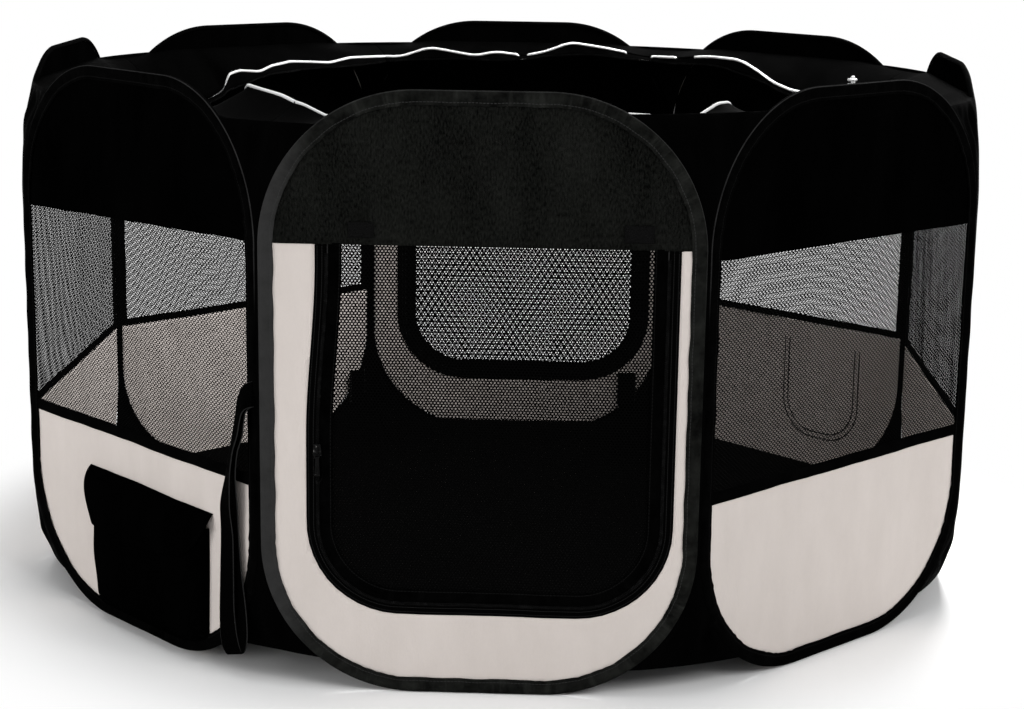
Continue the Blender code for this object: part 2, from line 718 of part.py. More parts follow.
def add_floor_tab(name, centre, carrier, matrix):
    """Short webbing tab, sewn in with the floor's edge."""
    low = (centre - TAB_WIDTH / 2, INSIDE, TAB_BOTTOM)
    high = (centre + TAB_WIDTH / 2, INSIDE + TAB_THICKNESS, TAB_TOP)
    keep(name, box_mesh(name, low, high), WEBBING, carrier, matrix)


def add_door(index, carrier, matrix, shift):
    name = PANEL_NAMES[index]
    add_door_surround(index, carrier, matrix, shift)
    add_zip_tape(index, carrier, matrix, shift)
    line = matrix @ Matrix.Translation((shift, -DOOR_HINGE_OUT, NET_TOP))
    hinge = pivot(name + "_door_hinge", line, carrier)
    add_door_leaf(index, hinge, matrix, shift)
    add_zip_slider(index, hinge, matrix, shift)


def add_panel(index, carrier):
    matrix = panel_matrix(index)
    add_wire(index, carrier, matrix)
    add_binding(index, carrier, matrix)
    add_upper_cloth(index, carrier, matrix)
    if index in DOORS:
        add_door(index, carrier, matrix, DOORS[index])
    else:
        add_net_window(index, carrier, matrix)
        add_lower_cloth(index, carrier, matrix)


def add_carriers():
    """One empty a panel, on its hinge axis, each hung from the panel before it."""
    carriers = {0: pivot("front_panel", Matrix())}
    for index in (1, 2, 3, 4, 7, 6, 5):
        before = index - 1 if index <= SIDES // 2 else (index + 1) % SIDES
        place = Matrix.Translation(hinge_point(hinge_corner(index)))
        turn = Matrix.Rotation(2 * HALF_TURN * index, 4, "Z")
        carriers[index] = pivot(PANEL_NAMES[index] + "_panel", place @ turn, carriers[before])
    return carriers


def build():
    carriers = add_carriers()
    for index in range(SIDES):
        add_panel(index, carriers[index])
    for index in range(SIDES):
        add_gusset(index, carriers[index if index < SIDES // 2 else (index + 1) % SIDES])
    add_floor(carriers[0])
    add_flange(carriers[0])
    front_left, back_right = PANEL_NAMES.index("front_left"), PANEL_NAMES.index("back_right")
    outside = panel_matrix(front_left)
    add_pocket(carriers[front_left], outside)
    root = Vector((0, -(CLOTH / 2 + GAP + POCKET_WALL / 2), POCKET_TOP + FLAP_ROOT_RISE))
    flap_hinge = pivot("pocket_flap_hinge", outside @ Matrix.Translation(root), carriers[front_left])
    add_pocket_flap(flap_hinge, outside)
    hang = Vector((STRAP_ROOT, -STRAP_OUT, STRAP_TOP + STRAP_NECK))
    strap_hinge = pivot("storage_strap_hinge", outside @ Matrix.Translation(hang), carriers[front_left])
    add_strap(strap_hinge, outside)
    add_bottle_pocket(carriers[back_right], panel_matrix(back_right))
    back, back_left = PANEL_NAMES.index("back"), PANEL_NAMES.index("back_left")
    add_floor_tab("back_floor_tab", BACK_TAB_CENTRE, carriers[back], panel_matrix(back))
    add_floor_tab("back_left_floor_tab", BACK_LEFT_TAB_CENTRE, carriers[back_left], panel_matrix(back_left))


clear_scene()
PEN = bpy.data.collections.new("foldable_puppy_playpen")
CUTTERS = bpy.data.collections.new("cutters_and_guides")
bpy.context.scene.collection.children.link(PEN)
bpy.context.scene.collection.children.link(CUTTERS)
STEEL = material("spring_steel", (0.35, 0.36, 0.38), 0.35, 1.0)
BINDING = material("black_binding_tape", (0.018, 0.019, 0.018), 0.70)
BLACK_CLOTH = material("black_oxford_cloth", (0.008, 0.009, 0.008), 0.80)
NET = material("black_net", (0.006, 0.006, 0.006), 0.75)
LIGHT_CLOTH = material("cream_oxford_cloth", (0.63, 0.58, 0.56), 0.85)
WEBBING = material("black_webbing", (0.010, 0.010, 0.010), 0.75)
ZIP_BLACK = material("black_zip", (0.007, 0.007, 0.007), 0.55)
ZIP_METAL = material("dark_zip_metal", (0.05, 0.05, 0.05), 0.35, 1.0)
build()
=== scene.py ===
import json
import math

import bmesh
import bpy
import numpy as np
from mathutils import Matrix, Vector

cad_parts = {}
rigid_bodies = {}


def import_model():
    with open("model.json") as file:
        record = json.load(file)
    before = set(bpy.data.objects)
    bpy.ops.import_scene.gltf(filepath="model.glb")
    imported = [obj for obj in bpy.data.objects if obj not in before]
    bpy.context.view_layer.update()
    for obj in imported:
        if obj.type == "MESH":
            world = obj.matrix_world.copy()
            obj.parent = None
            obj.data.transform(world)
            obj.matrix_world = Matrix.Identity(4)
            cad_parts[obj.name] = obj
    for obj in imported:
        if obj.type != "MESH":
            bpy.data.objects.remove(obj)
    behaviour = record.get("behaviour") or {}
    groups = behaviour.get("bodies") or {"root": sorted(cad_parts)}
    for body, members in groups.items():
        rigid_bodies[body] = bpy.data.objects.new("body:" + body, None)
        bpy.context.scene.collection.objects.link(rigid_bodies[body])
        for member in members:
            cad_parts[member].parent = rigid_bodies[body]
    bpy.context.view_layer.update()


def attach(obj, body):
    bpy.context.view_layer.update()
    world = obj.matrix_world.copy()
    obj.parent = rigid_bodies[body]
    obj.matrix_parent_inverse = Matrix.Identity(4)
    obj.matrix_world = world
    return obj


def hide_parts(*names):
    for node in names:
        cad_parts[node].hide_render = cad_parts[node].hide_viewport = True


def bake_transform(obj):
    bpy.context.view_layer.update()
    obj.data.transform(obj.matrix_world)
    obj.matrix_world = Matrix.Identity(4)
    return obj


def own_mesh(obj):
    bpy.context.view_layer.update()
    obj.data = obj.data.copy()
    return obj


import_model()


# Wire loops. Each of the eight panels is held open by a hoop of sprung steel wire, bent to a
# rectangle with large round corners. The binding hides it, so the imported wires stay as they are.
class Tone:
    """A shader value. Arithmetic on it adds Math nodes, and node() adds any other node."""

    def __init__(self, tree, socket=None):
        self.tree = tree
        self.socket = socket

    def node(self, kind, settings, sockets, output=0):
        made = self.tree.nodes.new(kind)
        for key, value in settings.items():
            setattr(made, key, value)
        for key, value in sockets.items():
            if isinstance(value, Tone):
                self.tree.links.new(value.socket, made.inputs[key])
            else:
                made.inputs[key].default_value = value
        return Tone(self.tree, made.outputs[output])

    def math(self, operation, *values):
        return self.node("ShaderNodeMath", {"operation": operation}, dict(enumerate(values)))

    def coords(self, output):
        return self.node("ShaderNodeTexCoord", {}, {}, output)

    def axis(self, number):
        return self.node("ShaderNodeSeparateXYZ", {}, {0: self}, number)

    def noise(self, scale, detail=2.0, roughness=0.5):
        sockets = {"Vector": self, "Scale": scale, "Detail": detail, "Roughness": roughness}
        return self.node("ShaderNodeTexNoise", {}, sockets)

    def eased(self, start, end):
        """Goes smoothly from 0 at start to 1 at end."""
        return self.node("ShaderNodeMapRange", {"interpolation_type": "SMOOTHSTEP"}, {0: self, 1: start, 2: end})

    def __add__(self, other):
        return self.math("ADD", self, other)

    __radd__ = __add__

    def __sub__(self, other):
        return self.math("SUBTRACT", self, other)

    def __rsub__(self, other):
        return self.math("SUBTRACT", other, self)

    def __mul__(self, other):
        return self.math("MULTIPLY", self, other)

    __rmul__ = __mul__

    def __gt__(self, other):
        return self.math("GREATER_THAN", self, other)

    def __lt__(self, other):
        return self.math("LESS_THAN", self, other)


def finish_named(name, roughness, specular, metallic=0.0):
    """A new material with plain settings, and a Tone that starts its shader maths."""
    material = bpy.data.materials.new(name)
    material.use_nodes = True
    inputs = material.node_tree.nodes["Principled BSDF"].inputs
    inputs["Roughness"].default_value = roughness
    inputs["Specular IOR Level"].default_value = specular
    inputs["Metallic"].default_value = metallic
    return material, Tone(material.node_tree)


def coloured(tint, relief=None, strength=0.0, deep=0.0):
    """Links a colour to its material's shader and, where there is relief, a bump of that depth."""
    inputs = tint.tree.nodes["Principled BSDF"].inputs
    tint.tree.links.new(tint.socket, inputs["Base Color"])
    if relief is not None:
        bump = relief.node("ShaderNodeBump", {}, {"Strength": strength, "Distance": deep, "Height": relief})
        relief.tree.links.new(bump.socket, inputs["Normal"])


def mixed(share, first, second):
    """Colour that goes from first to second as share goes from 0 to 1."""
    return share.node("ShaderNodeMix", {"data_type": "RGBA"}, {0: share, 6: first, 7: second}, 2)


def grey(level, red=1.0, green=1.0, blue=1.0):
    return (level * red, level * green, level * blue, 1)


spring_steel, here = finish_named("spring_steel", 0.34, 0.5, metallic=1.0)
drawn_marks = here.coords("Object").noise(900.0, 3.0)
coloured(mixed(drawn_marks, grey(0.30, 1.0, 1.02, 1.05), grey(0.46)))
PANELS = ("front", "front_right", "right", "back_right", "back", "back_left", "left", "front_left")
for panel in PANELS:
    bpy.data.objects[panel + "_wire"].material_slots[0].material = spring_steel


# Bindings. A black tape is folded over the wire and the edge of the panel's cloth, and sewn through
# with one seam. It puffs over the wire, gathers round the corners, and its outer lip is the wide one.
HALF = 0.208  # of a panel's width
RADIUS = 0.147  # of a panel's round corners
HEIGHT = 0.580
CORNER = 0.209  # half a side of the octagon, out to the line where two panels meet
APOTHEM = CORNER / math.tan(math.pi / 8)
BODIES = {panel: panel + "_panel" for panel in PANELS}


def panel_place(index):
    """From a panel's own frame (x along the wall, -y outwards, z up) to the pen's."""
    turn = math.tau / 8 * index
    out = Vector((math.sin(turn), -math.cos(turn), 0))
    return Matrix.Translation(out * APOTHEM) @ Matrix.Rotation(turn, 4, "Z")


def placed(name, data):
    """A new object with this data, put in the scene."""
    made = bpy.data.objects.new(name, data)
    bpy.context.collection.objects.link(made)
    return made


def sewn(name, points, faces, place, material, uv, flat=False):
    """A piece from points in a panel's frame, with its place in its mesh and one uv for each point."""
    mesh = bpy.data.meshes.new(name)
    mesh.from_pydata(np.asarray(points, float).tolist(), [], [list(face) for face in faces])
    mesh.transform(place)
    corners = np.empty(len(mesh.loops), np.int32)
    mesh.loops.foreach_get("vertex_index", corners)
    layer = mesh.uv_layers.new(name="cut")
    layer.data.foreach_set("uv", np.asarray(uv, np.float32)[corners].ravel())
    mesh.polygons.foreach_set("use_smooth", [not flat] * len(mesh.polygons))
    mesh.materials.append(material)
    mesh.update()
    return placed(name, mesh)


def gridded(rows):
    """Points and faces of a surface that runs through these rows of points."""
    grid = np.arange(len(rows) * len(rows[0])).reshape(len(rows), -1)
    faces = np.stack([grid[:-1, :-1], grid[:-1, 1:], grid[1:, 1:], grid[1:, :-1]], -1).reshape(-1, 4)
    return np.concatenate(rows), faces


def run_of(line):
    """Distance along a line of points, from its start."""
    return np.concatenate([[0], np.cumsum(np.linalg.norm(np.diff(line, axis=0), axis=1))])


def outline(inset, step):
    """Points round a panel at this distance in from its edge, with the direction that leads inwards."""
    wide, tall, radius = HALF - inset, HEIGHT / 2 - inset, RADIUS - inset
    parts = max(round(math.radians(90) * radius / step), 4)
    arcs, points, inwards = [], [], []
    for right, up, start in ((1, 1, 0), (-1, 1, 90), (-1, -1, 180), (1, -1, 270)):
        middle = (right * (wide - radius), HEIGHT / 2 + up * (tall - radius))
        turn = np.radians(np.linspace(start, start + 90, parts + 1))
        way = np.column_stack([np.cos(turn), np.sin(turn)])
        arcs.append((middle + radius * way, -way))
    for (arc, way), (ahead, _) in zip(arcs, arcs[1:] + arcs[:1]):
        count = max(round(float(np.hypot(*(ahead[0] - arc[-1]))) / step), 1)
        points += [arc, np.linspace(arc[-1], ahead[0], count + 1)[1:-1]]
        inwards += [way, np.repeat(way[-1:], count - 1, axis=0)]
    return np.concatenate(points), np.concatenate(inwards)


# the section, as inward and outward places: round the outside of the fold, then back inside it
TAPE_FOLD = np.array([
    (0.0085, -0.0013), (0.0064, -0.0016), (0.0040, -0.0028), (0.0018, -0.0024), (0.0003, -0.0012),
    (0.0000, 0.0003), (0.0005, 0.0017), (0.0022, 0.0028), (0.0045, 0.0029), (0.0075, 0.0022),
    (0.0102, 0.0018), (0.0112, 0.0013), (0.0122, 0.0017), (0.0142, 0.0014), (0.0145, 0.0006),
    (0.0085, 0.0006), (0.0042, 0.0018), (0.0008, 0.0012), (0.0008, -0.0012), (0.0042, -0.0018),
    (0.0083, -0.0006),
])
fold_run = run_of(TAPE_FOLD)
STITCH_ACROSS, CREST_ACROSS = fold_run[11], fold_run[6]
OUTER_LIP = slice(5, 16)
RIB = 0.0011
STITCH = 0.0034


def bound_tape(name, dark, pale, highlight_and_thread, specular, thread, painted_leg_light=0.0):
    """Black tape: fine ribs, one seam, and gathers at the round corners; fold and gathers get painted highlights.

    The last argument lightens the left leg with painted light, as from a lamp low on the left."""
    material, here = finish_named(name, 0.8, specular)
    cut, place = here.coords("UV"), here.coords("Object")
    along, across, height = cut.axis(0), cut.axis(1), place.axis(2)
    ribs = here.math("SINE", along * (math.tau / RIB)) * 0.5 + 0.5
    stitch = here.math("COMPARE", across, STITCH_ACROSS, 0.00045) * (here.math("FRACT", along * (1 / STITCH)) > 0.28)
    round_part = here.math("ABSOLUTE", height - HEIGHT / 2).eased(0.12, 0.20)
    lint = place.noise(46.0, 5.0, 0.7)
    drawn = here.node("ShaderNodeMapping", {}, {"Vector": cut, "Scale": (1.0, 0.12, 1.0)})
    gathers = drawn.noise(150.0, 3.0, 0.6)
    # painted highlight: the gathers at the round corners are lightened in colour
    painted_gather_highlight = here.math("MAXIMUM", gathers - 0.52, 0.0) * (round_part * 3.0)
    # painted light: the left leg of the front binding is lightened, as by a lamp low on the left
    leg = place.axis(0).eased(-0.15, -0.20)
    # painted highlight: a lighter line along the crest of the fold over the wire, where it catches the light
    painted_fold_highlight = here.math("COMPARE", across, CREST_ACROSS, 0.0006) * (lint * 0.8 + 0.1) * height.eased(0.36, 0.44)
    tint = mixed(lint * 2.4 - 0.8 + painted_gather_highlight, dark, pale)
    tint = mixed(leg * painted_leg_light * (lint + 0.5), tint, highlight_and_thread)
    tint = mixed(stitch * thread, tint, highlight_and_thread)
    tint = mixed(painted_fold_highlight, tint, highlight_and_thread)
    relief = ribs * 0.35 + stitch * 1.4 + lint * 0.9 + gathers * (round_part * 3.0 + 0.5)
    coloured(tint, relief, 0.6, 0.0004)
    return material


binding_tape = bound_tape("black_binding_tape", grey(0.0002), grey(0.0013), grey(0.040), 0.003, 0.12)
front_tape = bound_tape(
    "front_binding_tape", grey(0.0022, 1, 1.03, 0.96), grey(0.0140, 1, 1.05, 0.95), grey(0.032), 0.012, 0.7, 0.8,
)
rim, rim_inwards = outline(0, 0.0045)
rim_run = run_of(np.vstack([rim, rim[:1]]))
past_straight = np.abs(rim - (0, HEIGHT / 2)) - (HALF - RADIUS, HEIGHT / 2 - RADIUS)
at_corner = np.clip(past_straight.min(axis=1) / 0.02 + 1, 0, 1)
tape_uv = np.stack(np.meshgrid(rim_run, np.append(fold_run, fold_run[-1] + 0.0007), indexing="ij"), -1)
for index, panel in enumerate(PANELS):
    random = np.random.default_rng(70 + index)
    waves = [(random.uniform(0.010, 0.016), random.uniform(0, 6)) for _ in range(3)]
    waves += [(random.uniform(0.035, 0.085), random.uniform(0, 6)) for _ in range(3)]
    ripples = [np.sin(math.tau * rim_run / wave + turn) for wave, turn in waves]
    pucker, sway = sum(ripples[:3]) / 3, sum(ripples[3:]) / 3
    rows = []
    for k in (*range(len(rim)), 0):
        lift = 0.00075 * pucker[k] * at_corner[k] + 0.00028 * sway[k] + 0.0002 * pucker[k]
        inward, outward = TAPE_FOLD.T.copy()
        free = np.clip((inward - 0.005) / 0.008, 0, 1)
        outward[OUTER_LIP] += abs(lift) * free[OUTER_LIP] * 1.6
        inward[:16] += free[:16] * (0.0006 * sway[k] + 0.0004 * pucker[k] * at_corner[k])
        # the inner lip is cut back, so that the tapes of two panels make a thin post between windows
        inward[[0, 15, 20]] -= 0.0038
        inward[1] -= 0.0014
        outward[6:10] *= 1 + 0.12 * sway[k]
        across = rim[k] + inward[:, None] * rim_inwards[k]
        row = np.column_stack([across[:, 0], -outward, across[:, 1]])
        rows.append(np.vstack([row, row[:1]]))
    points, faces = gridded(rows)
    tape_kind = front_tape if index == 0 else binding_tape
    tape = sewn(panel + "_tape", points, faces, panel_place(index), tape_kind, tape_uv.reshape(-1, 2))
    tidy = bmesh.new()
    tidy.from_mesh(tape.data)
    bmesh.ops.remove_doubles(tidy, verts=tidy.verts, dist=0.00001)
    tidy.to_mesh(tape.data)
    tidy.free()
    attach(tape, BODIES[panel])
    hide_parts(panel + "_binding")


# Panel cloths. A strip of black oxford closes the top of every panel, and a deeper piece of cream
# oxford the foot of six of them. Both end in a stitched hem over the net, and the wall's upright
# creases run through them.
HEM = 0.437
FOOT = 0.2
# heights of the black strip's hem and of the cream cloth's seam, at a panel's left and right
TOP_HEM = dict.fromkeys(PANELS, (HEM, HEM)) | {
    "front": (0.4362, 0.4362), "back": (0.4362, 0.4362),
    "front_left": (0.423, 0.4365), "front_right": (0.426, 0.4235),
}
FOOT_SEAM = dict.fromkeys(PANELS, (FOOT, FOOT)) | {
    "front_left": (0.2035, 0.2035), "front_right": (0.1945, 0.1985), "back_right": (0.206, 0.2),
}
DOORS = {0: 0.010, 4: -0.009}  # how far each door stands to the right of its panel's middle
CLOTH = 0.0006  # thickness, with its coating
WARP, WEFT = 0.00062, 0.00068  # from yarn to yarn


def slanted(ends, x):
    """Height, at each x, of a straight line between its heights at a panel's left and right."""
    return ends[0] + (ends[1] - ends[0]) * (x / HALF + 1) / 2


def distance_in(x, z):
    """How far inside the panel's outline these points are."""
    sideways = np.abs(x) - (HALF - RADIUS)
    upright = np.abs(z - HEIGHT / 2) - (HEIGHT / 2 - RADIUS)
    corner = np.hypot(np.maximum(sideways, 0), np.maximum(upright, 0))
    return RADIUS - corner - np.minimum(np.maximum(sideways, upright), 0)


def smooth(share):
    share = np.clip(share, 0, 1)
    return share * share * (3 - 2 * share)


def crease(index, x, z):
    """How far inwards the cloth of a panel stands from its plane: nothing at the binding."""
    random = np.random.default_rng(20 + index)
    total = np.zeros_like(x)
    for wave, share in ((0.23, 1.0), (0.11, 0.6), (0.052, 0.34), (0.029, 0.16)):
        lean, turn, bend, slow = random.uniform([-0.35, 0, 0.3, 0], [0.35, 6.28, 1.1, 6.28])
        path = (x + lean * z) / wave * math.tau + turn + bend * np.sin(z * math.tau / 0.27 + slow)
        total = total + share * np.sin(path) * (0.75 + 0.25 * np.sin(z * math.tau / 0.19 + turn))
    if index in DOORS:
        # a door turns about this line, so the cloth is flat there
        total = total * smooth(np.abs(z - HEM) / 0.035)
    size = 0.0003 if index in (2, 6) else 0.0011
    return size * total * smooth((distance_in(x, z) - 0.0155) / 0.05)


def cut_sheet(rim, low, high):
    """Flat piece cut to a rim, between a low and a high edge (left and right heights), in small squares."""
    step = 0.0055
    bm = bmesh.new()
    bm.faces.new([bm.verts.new((x, 0, z)) for x, z in rim])

    def slice_at(place, normal, trim=False):
        everything = bm.verts[:] + bm.edges[:] + bm.faces[:]
        bmesh.ops.bisect_plane(bm, geom=everything, dist=1e-6, plane_co=place, plane_no=normal, clear_outer=trim)

    for (left, right), way in ((low, -1), (high, 1)):
        slope = (right - left) / (2 * HALF)
        slice_at((0, 0, (left + right) / 2), Vector((-slope * way, 0, way)).normalized(), True)
    places = [vert.co for vert in bm.verts]
    left, right = min(p.x for p in places), max(p.x for p in places)
    bottom, top = min(p.z for p in places), max(p.z for p in places)
    for start, length, way in ((left, right - left, Vector((1, 0, 0))), (bottom, top - bottom, Vector((0, 0, 1)))):
        squares = round(length / step)
        for count in range(1, squares):
            slice_at(way * (start + length * count / squares), way)
    bmesh.ops.remove_doubles(bm, verts=bm.verts, dist=0.00002)
    points = np.array([vert.co[:] for vert in bm.verts])
    bm.verts.index_update()
    faces = [[vert.index for vert in face.verts] for face in bm.faces]
    bm.free()
    return points, faces


def oxford(name, dark, pale, roughness, specular, grain=1.0):
    """Woven polyester: plain weave in the uv's metres, soft creases, and uneven dye that follows the creases as painted
    shade.
    """
    material, here = finish_named(name, roughness, specular)
    cut = here.coords("UV")
    weave = here.math("SINE", cut.axis(0) * (math.pi / WARP)) * here.math("SINE", cut.axis(1) * (math.pi / WEFT))
    stretched = here.node("ShaderNodeMapping", {}, {"Vector": cut, "Scale": (1.0, 0.35, 1.0)})
    dye_and_crease_shade, slub = stretched.noise(17.0, 6.0, 0.62), stretched.noise(620.0)
    # the crease noise also sets the colour: uneven dye, and painted shade in the low parts of the creases
    tint = mixed(dye_and_crease_shade * 1.5 - 0.25 + slub * 0.24 * grain - 0.12 * grain + weave * 0.10, dark, pale)
    coloured(tint, weave * 0.22 * grain + slub * 0.4 * grain + dye_and_crease_shade * 2.4, 0.55, 0.0006)
    return material


def thickened(piece, thickness):
    """Gives a sheet its thickness with an applied Solidify."""
    bpy.ops.object.select_all(action="DESELECT")
    piece.select_set(True)
    bpy.context.view_layer.objects.active = piece
    wall = piece.modifiers.new("wall", "SOLIDIFY")
    wall.thickness = thickness
    wall.offset = 0.0
    bpy.ops.object.modifier_apply(modifier=wall.name)
    return piece


def panel_cloth(index, name, low, high, material, hem=None):
    """A cloth cut to the panel's rim and set into it, doubled where it has a hem at its lower edge."""
    points, faces = cut_sheet(cloth_rim, low, high)
    x, z = points[:, 0], points[:, 2]
    points[:, 1] = crease(index, x, z)
    if hem is not None:
        doubled = smooth((0.0135 - (z - slanted(hem, x))) / 0.003)
        points[:, 1] -= 0.0007 * doubled * smooth((distance_in(x, z) - 0.013) / 0.01)
    uv = np.column_stack([x + index, z])
    return thickened(sewn(name, points, faces, panel_place(index), material, uv), CLOTH)


front_oxford = oxford("front_black_oxford", grey(0.0006, 1, 1.04, 0.95), grey(0.0125, 1, 1.05, 0.94), 0.8, 0.008, 7.0)
black_oxford = oxford("black_oxford", grey(0.0001), grey(0.0010), 0.8, 0.0)
cream_oxford = oxford("cream_oxford", (0.545, 0.495, 0.463, 1), (0.64, 0.585, 0.552, 1), 0.8, 0.15)
cloth_rim, _ = outline(0.0040, 0.012)
for index, panel in enumerate(PANELS):
    hem, black = TOP_HEM[panel], front_oxford if index == 0 else black_oxford
    cloth = panel_cloth(index, panel + "_top_strip", hem, (HEIGHT, HEIGHT), black, hem)
    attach(cloth, BODIES[panel])
    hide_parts(panel + "_upper_cloth")
    if index not in DOORS:
        cloth = panel_cloth(index, panel + "_foot_cloth", (0, 0), FOOT_SEAM[panel], cream_oxford)
        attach(cloth, BODIES[panel])
        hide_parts(panel + "_lower_cloth")


# Net windows. Black warp-knitted net with six-sided holes fills the middle of six panels, from under
# the hem of the top strip down to a black tape that covers its seam with the cream cloth.
net_yarn, here = finish_named("black_net_yarn", 0.7, 0.008)
twist = here.coords("Object").noise(620.0)
coloured(mixed(twist, grey(0.0004), grey(0.0016)), twist, 0.4, 0.0002)
NET_DEPTH = 0.0005
NET_BEHIND = 0.0009  # how far a net stands behind the wall's plane


def knitted(inside, box, across, up, solid):
    """Net over an area: each six-sided hole is ringed by half of every strand, raised to a ridge.

    Holes are this far apart across, their rows this far apart, and solid is the strand's share."""
    left, right, low, high = box
    row, column = np.mgrid[0:int((high - low) / up) + 1, 0:int((right - left) / across) + 1]
    cx = left + (column + 0.5 * (row % 2)) * across
    cz = low + row * up
    keep = inside(cx, cz)
    middles = np.column_stack([cx[keep], cz[keep]])[:, None]
    angles = np.radians(30 + 60 * np.arange(6))
    ring = np.column_stack([across / math.sqrt(3) * np.cos(angles), up / 1.5 * np.sin(angles)])
    holes = (middles + ring * (1 - solid)).reshape(-1, 2)
    ridges = (middles + ring).reshape(-1, 2)
    snapped = np.round(ridges / 0.00002).astype(int)
    _, first, shared = np.unique(snapped, axis=0, return_index=True, return_inverse=True)
    near = np.arange(len(holes)).reshape(-1, 6)
    far = len(holes) + shared.reshape(-1, 6)
    faces = np.stack([near, np.roll(near, -1, 1), np.roll(far, -1, 1), far], -1).reshape(-1, 4)
    flat = np.concatenate([holes, ridges[first]])
    depth = np.repeat([NET_DEPTH / 2, -NET_DEPTH / 2], [len(holes), len(first)])
    return np.column_stack([flat[:, 0], depth, flat[:, 1]]), faces.tolist()


def net_piece(name, index, area):
    """A net cut to an area, set behind the wall's plane and creased with it."""
    points, faces = area
    x, z = points[:, 0], points[:, 2]
    points[:, 1] += crease(index, x, z) + NET_BEHIND * smooth((distance_in(x, z) - 0.007) / 0.012)
    mesh = bpy.data.meshes.new(name)
    mesh.from_pydata(points.tolist(), [], faces)
    mesh.transform(panel_place(index))
    mesh.materials.append(net_yarn)
    net = placed(name, mesh)
    return net


def over_wall(index, x, z, out):
    """Points that stand this far outside a panel's cloth."""
    return np.column_stack([x, crease(index, x, z) - out, z])


def rowed(name, rows, place, material, thickness, uv=None, turned=False):
    """A cloth through rows of points, with rows of uv (or its x and z); turned swaps its two faces."""
    points, faces = gridded(rows)
    uv = points[:, [0, 2]] if uv is None else np.concatenate(uv)
    return thickened(sewn(name, points, faces[:, ::-1] if turned else faces, place, material, uv), thickness)


for index, panel in enumerate(PANELS):
    if index in DOORS:
        continue

    def in_window(x, z):
        above = z > slanted(FOOT_SEAM[panel], x) - 0.001
        return above & (z < slanted(TOP_HEM[panel], x) + 0.0065) & (distance_in(x, z) > 0.0075)

    # finer at the back, so that two nets one behind the other give a pattern near the photo's
    across, up = (0.0038, 0.0016) if index in (3, 5) else (0.0049, 0.00205)
    area = knitted(in_window, (-0.204, 0.204, 0.186, 0.446), across, up, 0.32)
    net = net_piece(panel + "_window_net", index, area)
    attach(net, BODIES[panel])
    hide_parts(panel + "_net_window")
    x = np.linspace(-0.2005, 0.2005, 82)
    low = slanted(FOOT_SEAM[panel], x) - 0.0035
    rows = [
        over_wall(index, x, low + 0.012 * share, 0.0009 + lift)
        for share, lift in ((0, 0.0), (0.12, 0.00015), (0.5, 0.0003), (0.88, 0.00015), (1, 0.0))
    ]
    uv = [row[:, [0, 2]] + (HALF, 0) for row in rows]
    band = rowed(panel + "_seam_tape", rows, panel_place(index), binding_tape, CLOTH, uv)
    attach(band, BODIES[panel])


# Door panels. Front and back each have a cream surround that borders a door of net on three sides.
# A black zip is sewn under the surround's edge; its other half is sewn to the door's cloth border.
DOOR_HALF, DOOR_RADIUS, DOOR_FOOT = 0.174, 0.090, 0.078
# the tops of the layers that run up behind the hem of the black strip, and of the coil, which ends below it
SURROUND_TOP, STRIP_TOP, BORDER_TOP, NET_TOP, COIL_TOP = 0.4405, 0.4378, 0.4374, 0.4366, 0.428
NET_IN = 0.0185  # how far the door's net is cut inside the surround's edge
CHAIN_IN = 0.0110  # from the surround's edge to the middle of the zip's chain
COIL_PITCH = 0.0017
ZIP_CLOTH = 0.0005  # thickness


def pulled_in(shift, z):
    """The front surround's left edge leans inwards towards its top."""
    return 0.0092 * (shift > 0) * smooth((z - 0.25) / 0.17)


def door_line(shift, inset, top):
    """Points down one side of a door, round its foot and up the other, with the way to its middle."""
    half, radius, foot = DOOR_HALF - inset, DOOR_RADIUS - inset, DOOR_FOOT + inset
    fall = np.linspace(top, foot + radius, 56)
    turn = np.radians(np.linspace(180, 360, 67))
    arc = np.column_stack([np.cos(turn), np.sin(turn)])
    left_arc = np.array([shift - half + radius, foot + radius]) + radius * arc[:34]
    right_arc = np.array([shift + half - radius, foot + radius]) + radius * arc[33:]
    base = np.linspace(left_arc[-1], right_arc[0], 36)[1:-1]
    left = np.column_stack([shift - half + pulled_in(shift, fall), fall])[:-1]
    right = np.column_stack([np.full(56, shift + half), fall])[-2::-1]
    ways = np.vstack([[(1, 0)] * 55, -arc[:34], [(0, 1)] * 34, -arc[33:], [(-1, 0)] * 55])
    return np.vstack([left, left_arc, base, right_arc, right]), ways


def outside_door(shift, x, z):
    """How far points are outside a door's edge; inside it this is negative."""
    x = x - pulled_in(shift, z) * (x < shift)
    sideways, down = np.abs(x - shift) - (DOOR_HALF - DOOR_RADIUS), DOOR_FOOT + DOOR_RADIUS - z
    corner = np.hypot(np.maximum(sideways, 0), np.maximum(down, 0))
    return corner + np.minimum(np.maximum(sideways, down), 0) - DOOR_RADIUS


def door_ribbon(index, name, section, top, material, thickness):
    """A strip that follows the door's U. Its section gives the distance in and the place outwards."""
    length = run_of(door_line(DOORS[index], 0.012, top)[0])
    rows, uv = [], []
    for inset, out in section:
        line, _ = door_line(DOORS[index], inset, top)
        rows.append(over_wall(index, *line.T, out))
        uv.append(np.column_stack([length, np.full(len(length), inset)]))
    return rowed(name, rows, panel_place(index), material, thickness, uv)


zip_tape, here = finish_named("black_zip_tape", 0.75, 0.004)
along, across = here.coords("UV").axis(0), here.coords("UV").axis(1)
slant = here.math("SINE", (along + across) * (math.tau / 0.0013))
rows_of_thread = here.math("COMPARE", here.math("FRACT", across * (1 / 0.0046)), 0.5, 0.07)
dash = rows_of_thread * (here.math("FRACT", along * (1 / 0.0026)) > 0.3)
tint = mixed(dash, mixed(slant * 0.5 + 0.5, grey(0.0003), grey(0.0012)), grey(0.013))
coloured(tint, slant * 0.4 + dash, 0.5, 0.0003)
coil_nylon, here = finish_named("grey_coil_nylon", 0.45, 0.04)
# painted highlights: lighter specks on the coil stand in for glints of light on the nylon loops
painted_glints = here.coords("Object").noise(260.0, 3.0)
coloured(mixed(painted_glints * 3.0 - 1.4, grey(0.0004), grey(0.009, 1, 1.0, 1.02)))


